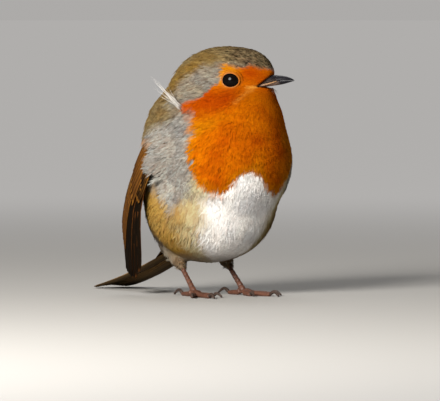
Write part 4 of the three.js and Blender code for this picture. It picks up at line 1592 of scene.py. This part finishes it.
# %% The plume
PLUME_ROOT = np.array([-17.6, -1.6, 69.6])
PLUME_TIP = np.array([-26.0, 4.2, 80.2])
PLUME_BEND = np.array([-0.9, -0.5, 0.35])  # which way the filaments bend, in mm
STRANDS = 22


def hair(points, radius, sides=4):
    """A thin closed tube through points in mm, tapering to its end."""
    t = np.linspace(0, 1, len(points))
    return loft(tube(points, radius * np.maximum(1 - t, 0.12), sides), "hair")


def plume_strands():
    rng = np.random.default_rng(77)
    strands = []
    t = np.linspace(0, 1, 12)[:, None]
    for _ in range(STRANDS):
        root = PLUME_ROOT + rng.uniform(-1, 1, 3) * (0.6, 0.6, 1.1)
        tip = between(PLUME_ROOT, PLUME_TIP, rng.uniform(0.6, 1.06)) + rng.uniform(-1, 1, 3) * (1.6, 2.0, 2.8)
        bend = PLUME_BEND * np.sin(math.pi * t) * (1.1 + rng.uniform(-0.4, 1.6))
        strands.append(hair(between(root, tip, t) + bend, rng.uniform(0.06, 0.12)))
    return strands


plume_white = Finish("plume_white", Roughness=0.6)
plume_white.clouded(srgb(170, 166, 160), srgb(216, 212, 206), 400.0)
stray = put("stray_plume", joined_mesh("stray_plume", plume_strands()), plume_white.material)
print("plume of", STRANDS, "strands")

# %% [markdown]
# Two groups of bristles stand on each side: a row from the gape up along the bill's root, and a few loose
# ones on the chin. Each is given by its root and its reach in the head's own axes.

# %% Bristles at the gape and chin
BRISTLES = 9
BRISTLE_THICK = 0.055  # mm
CHIN_BRISTLE_THICK = 0.05


def bristles():
    rng = np.random.default_rng(88)
    hairs = []
    for sign in (-1, 1):
        mirror = np.array([1, sign, 1])
        for f in np.linspace(0, 1, BRISTLES):
            root = between(np.array([10.2, 4.9, -0.9]), np.array([14.2, 2.3, 0.8]), f) * mirror
            reach = np.array([between(2.2, 3.2, f), sign * rng.uniform(0.6, 1.3), rng.uniform(-0.9, -0.1)])
            t = np.linspace(0, 1, 7)[:, None]
            droop = np.array([0, 0, -0.5]) * t**2
            hairs.append(hair(from_head(root + reach * t + droop), BRISTLE_THICK, 3))
        for _ in range(BRISTLES):
            root = np.array([rng.uniform(12.0, 13.6), rng.uniform(0.2, 2.0), rng.uniform(-4.2, -2.4)])
            reach = np.array([rng.uniform(1.2, 2.4), rng.uniform(-0.2, 0.5), rng.uniform(-2.2, -1.0)])
            t = np.linspace(0, 1, 6)[:, None]
            hairs.append(hair(from_head((root + reach * t) * mirror), CHIN_BRISTLE_THICK, 3))
    return hairs


bristle_dark = Finish("bristle_dark", Roughness=0.5)
bristle_dark.clouded(srgb(44, 34, 28), srgb(92, 66, 44), 900.0, 1.0)
whiskers = put("bristles", joined_mesh("bristles", bristles()), bristle_dark.material)
print("bristles made")

# %% [markdown]
# ## The eyes
# A robin's eye is large and almost black, with a wet shine. The ball shows through an oval opening whose rim
# is a thin pale ring of skin. The rim is a loft of rings that follow the ball: it rises from the eye, crests,
# and dives under the feathers. The back of the loft runs under the lid, so that it is closed.

# %% Balls and lids
LID_POINTS = 72
# Degrees beyond the opening and mm above the ball, out over the lid and back under it.
LID_SECTION = [(-3.0, -0.05), (-1.2, 0.10), (0.0, 0.17), (1.2, 0.20), (2.6, 0.19), (4.6, 0.13), (8.0, 0.10),
               (14.0, 0.08), (20.0, 0.0), (27.0, -0.3), (36.0, -1.1), (36.0, -2.0), (-3.0, -1.2)]
BEADS, BEAD_HIGH = 24, 0.03  # how many small swellings the rim has, and how high they are


def lid_rings(side, section, a, beaded=False):
    """Rings of points round the opening, each so many degrees beyond it and mm above the ball."""
    centre, outward, ahead, upward = eye_axes(side)
    spoke = np.cos(a)[:, None] * ahead + np.sin(a)[:, None] * upward
    rings = []
    for beyond, above in section:
        angle = (lid_angle(a) + math.radians(beyond))[:, None]
        bead = BEAD_HIGH * np.sin(a * BEADS) * (beaded and 0 < beyond < 5)
        rings.append((BALL + above + bead)[:, None] * (np.cos(angle) * outward + np.sin(angle) * spoke))
    return centre + np.vstack(rings), centre, spoke


def lid_mesh(side):
    a = np.linspace(0, 2 * math.pi, LID_POINTS, endpoint=False)
    rows = len(LID_SECTION)
    points, *_ = lid_rings(side, LID_SECTION, a, beaded=True)
    mesh = turned_out(mesh_of("lid", points, grid_faces(rows, LID_POINTS, ring=True, closed=True)))
    beyond = np.repeat([row[0] for row in LID_SECTION], LID_POINTS)
    pale = between(1.0, 0.3, soft_step(-0.2, 0.8, 0.9 * np.cos(a) + 0.4 * np.sin(a)))  # less so in front
    store(mesh, "rim", "FLOAT", soft_step(5.5, 2.5, beyond) * np.tile(pale, rows))
    return mesh


def ball_mesh(side):
    centre, outward, *_ = eye_axes(side)
    ball = bmesh.new()
    turn = Vector(outward).to_track_quat("Z", "Y").to_matrix().to_4x4()
    bmesh.ops.create_uvsphere(ball, u_segments=64, v_segments=40, radius=BALL * MM,
                              matrix=Matrix.Translation(Vector(to_metres(centre))) @ turn)
    mesh = bpy.data.meshes.new("ball")
    ball.to_mesh(mesh)
    mesh.shade_smooth()
    return mesh


wet_eye = Finish("wet_eye", Roughness=0.13, Specular_IOR_Level=0.05, Coat_Weight=0.03, Coat_Roughness=0.05)
wet_eye.clouded((0.0012, 0.001, 0.001), (0.004, 0.0025, 0.0018), 700.0)
lid_skin = Finish("lid_skin", Roughness=0.6, Specular_IOR_Level=0.08)
lid_cloud, lid_pale = lid_skin.clouded(srgb(104, 52, 16), srgb(168, 108, 52), 1500.0, 3.0)
lid_face = lid_skin.blend(lid_cloud, (*ORANGE_DEEP, 1), (*ORANGE_YELLOW, 1))
lid_skin.set("Base Color", lid_skin.blend(lid_skin.attribute("rim", 2), lid_face, lid_pale))
lid_skin.bump(lid_cloud, 0.00008, 0.8)
lid_pieces, eye_pieces = {}, {}
for side in SIDES:
    lid_pieces[side] = put("lid_" + side, lid_mesh(side), lid_skin.material)
    eye_pieces[side] = put("ball_" + side, ball_mesh(side), wet_eye.material)
print("eyes and lids made")

# %% [markdown]
# The lids carry the shortest feathers of all. Where the comb would lay them over the eye, they turn away.

# %% Feathers of the lids
LID_COAT = [(4.8, 0.13), (8.0, 0.12), (14.0, 0.12), (20.0, 0.06), (28.0, -0.2)]  # as in the lid's section
LID_FEATHER = 0.62  # mm
LID_CROWDING = 0.55


def lid_patch(side):
    p, centre, spoke = lid_rings(side, LID_COAT, np.linspace(0, 2 * math.pi, LID_POINTS + 1))
    out = unit(p - centre)
    lie = combed(p, out)
    away = unit(np.tile(spoke, (len(LID_COAT), 1)))
    inward = np.clip(-np.sum(lie * away, -1, keepdims=True), 0, None)
    lie = unit(lie + 1.15 * inward * away)
    return coat_sheet("lid_coat_" + side, p, LID_POINTS + 1, lie, out, np.full(len(p), LID_FEATHER),
                      LID_CROWDING, *plumage_colour(p))


for side in SIDES:
    grow("coat_lid_" + side, lid_patch(side), Seed=80, Turn=0.2)

# %% [markdown]
# ## Legs and feet
# The shank and the toes are covered with scales: broad shields down the front and the tops of the toes, and
# soft pads underneath. The frame's solids give their true course, so their copies are joined by a fine voxel
# remesh, smoothed, and then cut by rings of grooves that follow each toe.

# %% Feet
FOOT_VOXEL = 0.19  # mm
TOE_SWELL, SHANK_SWELL, CLAW_SWELL = 0.20, 0.10, 0.07  # mm
BALL_OF_FOOT = 0.95  # mm
SHIELD, SHANK_SHIELD, PAD = 1.25, 1.9, 2.9  # mm from one scale or pad to the next
GROOVE_DEEP, PAD_HIGH = 0.13, 0.10  # mm
FLOOR_GAP = 0.02  # mm, the lowest that the sole goes


def foot_mesh(side):
    names = ["shank_" + side] + [f"toe_{side}_{k}" for k in range(1, 5)]
    joined = bmesh.new()
    for name in names:
        merge_in(joined, swollen(name, SHANK_SWELL if name.startswith("shank") else TOE_SWELL))
    # The ball of the foot, where the toes meet under the shank.
    shank, *toes = (to_mm(places_of(frame["nodes"][name].data)) for name in names)
    heel = shank[shank[:, 2] < shank[:, 2].min() + 0.8].mean(0)
    for toe in toes:
        root = toe[np.argsort(np.linalg.norm(toe - heel, axis=1))[:6]].mean(0)
        middle = Matrix.Translation(Vector(to_metres(between(heel, root, 0.5))))
        step = bmesh.new()
        radius = max(BALL_OF_FOOT, 0.55 * np.linalg.norm(root - heel)) * MM
        bmesh.ops.create_icosphere(step, subdivisions=3, radius=radius,
                                   matrix=middle @ Matrix.Diagonal((1.0, 1.0, 0.72, 1.0)))
        merge_in(joined, step)
    shell = bpy.data.meshes.new("foot_" + side)
    joined.to_mesh(shell)
    foot = remeshed(shell, FOOT_VOXEL, 5)
    p = to_mm(places_of(foot))
    n = normals_of(foot)
    low, high = (to_mm(np.array(c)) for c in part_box("shank_" + side))
    joint = np.array([(low[0] + high[0]) / 2, low[1] + 0.9, low[2] + 0.8])
    along = np.linalg.norm(p - joint, axis=1)
    on_shank = soft_step(2.2, 3.4, p[:, 2])
    bands = 0.5 + 0.5 * np.cos(2 * math.pi * along / between(SHIELD, SHANK_SHIELD, on_shank))
    groove = bands**6
    upper = soft_step(-0.2, 0.5, n[:, 2] * (1 - on_shank) + on_shank * np.maximum(-n[:, 1], 0.2))
    under = soft_step(0.0, -0.6, n[:, 2]) * (1 - on_shank)
    pads = 0.5 - 0.5 * np.cos(2 * math.pi * along / PAD)
    lift = PAD_HIGH * pads * under - GROOVE_DEEP * groove * upper - 0.04 + 0.03 * ripple(p, 0.8, 61)
    p = p + n * lift[:, None]
    p[:, 2] = np.maximum(p[:, 2], FLOOR_GAP)
    move_points(foot, p)
    # The map is 1 in the grooves between the scales and 0.4 on the toes' downward faces; the finish darkens
    # the scales by it.
    store(foot, "groove", "FLOAT", groove * upper + 0.4 * under)
    foot.shade_smooth()
    return foot


leg_scales = Finish("leg_scales", Roughness=0.5, Specular_IOR_Level=0.3)
_, scale_base = leg_scales.clouded(srgb(58, 34, 25), srgb(94, 60, 45), 520.0, 3.0)
leg_scales.set("Base Color", leg_scales.scaled(scale_base, 1.1 - 0.55 * leg_scales.attribute("groove", 2)))
leg_scales.bump(leg_scales.noise(leg_scales.place(), 3200.0, 3.0), 0.00005, 0.6)

foot_pieces = {}
for side in SIDES:
    foot_pieces[side] = put("foot_" + side, foot_mesh(side), leg_scales.material)
    print("foot_" + side, len(foot_pieces[side].data.polygons), "faces")

# %% [markdown]
# The top of the shank comes out of the thigh's feathers. A short sleeve of small feathers lies round it and
# points down the leg, so that no gap shows between leg and body.

# %% Sleeves
SLEEVE = [(-0.6, 0.95), (0.4, 1.25), (1.4, 1.7), (2.6, 2.2), (3.8, 2.6)]  # mm up from the shank's top, radius
SLEEVE_AROUND = 28
SLEEVE_LONG, SLEEVE_CONTRAST = 1.5, 0.3


def sleeve(side):
    p = to_mm(places_of(frame["nodes"]["shank_" + side].data))
    top = p[p[:, 2] > p[:, 2].max() - 0.8].mean(0)
    bottom = p[p[:, 2] < p[:, 2].min() + 2.0].mean(0)
    axis = unit(top - bottom)
    one = unit(np.cross(axis, (1.0, 0, 0)))
    two = np.cross(axis, one)
    a = np.linspace(0, 2 * math.pi, SLEEVE_AROUND + 1)[:, None]
    spoke = np.cos(a) * one + np.sin(a) * two
    points = np.vstack([top + axis * along + spoke * radius for along, radius in SLEEVE])
    out = np.tile(spoke, (len(SLEEVE), 1))
    colour = mottled(THIGH_BROWN, SHOULDER_OLIVE, 0.5, 0.5, points, 1.6, 81)
    return coat_sheet("sleeve_" + side, points, SLEEVE_AROUND + 1, unit(-axis - 0.12 * out), out,
                      np.full(len(points), SLEEVE_LONG), 1.0, colour, np.full(len(points), SLEEVE_CONTRAST))


for side in SIDES:
    grow("coat_leg_" + side, sleeve(side), Seed=90, Turn=0.25)

# %% [markdown]
# Claws are horn too: curved, dark, and sharp. Each is the frame's own solid, its edges cut and smoothed.


# %% Claws
def claw_mesh(side):
    joined = bmesh.new()
    for k in range(1, 5):
        claw = swollen(f"claw_{side}_{k}", CLAW_SWELL, cuts=1)
        smoothed(claw, 0.35, 2)
        merge_in(joined, claw)
    out = bpy.data.meshes.new("claws_" + side)
    joined.to_mesh(out)
    out.shade_smooth()
    return out


claw_horn = Finish("claw_horn", Roughness=0.45, Specular_IOR_Level=0.12)
claw_cloud, _ = claw_horn.clouded(srgb(34, 28, 26), srgb(74, 58, 50), 900.0)
claw_horn.bump(claw_cloud, 0.00005, 0.5)
claw_pieces = {side: put("claws_" + side, claw_mesh(side), claw_horn.material) for side in SIDES}
print("claws made")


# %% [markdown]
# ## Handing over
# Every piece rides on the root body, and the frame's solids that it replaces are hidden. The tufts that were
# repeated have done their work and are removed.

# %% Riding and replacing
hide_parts(*FLESH)
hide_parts("tail")
for side in SIDES:
    digits = range(1, 5)
    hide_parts("wing_" + side)
    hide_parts("eye_" + side)
    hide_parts("shank_" + side, *[f"toe_{side}_{k}" for k in digits])
    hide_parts(*[f"claw_{side}_{k}" for k in digits])
for half_name, piece in bill_pieces.items():
    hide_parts(half_name)
single = [skin, tail, flange, whiskers, stray, *coat_pieces]
pairs = [wing_pieces, eye_pieces, lid_pieces, foot_pieces, claw_pieces, bill_pieces]
for piece in single + [piece for pair in pairs for piece in pair.values()]:
    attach(piece, "root")
for kind in list(soft_tufts.objects):
    bpy.data.objects.remove(kind)
bpy.data.collections.remove(soft_tufts)
print(len(coat_pieces), "pieces of coat handed over")
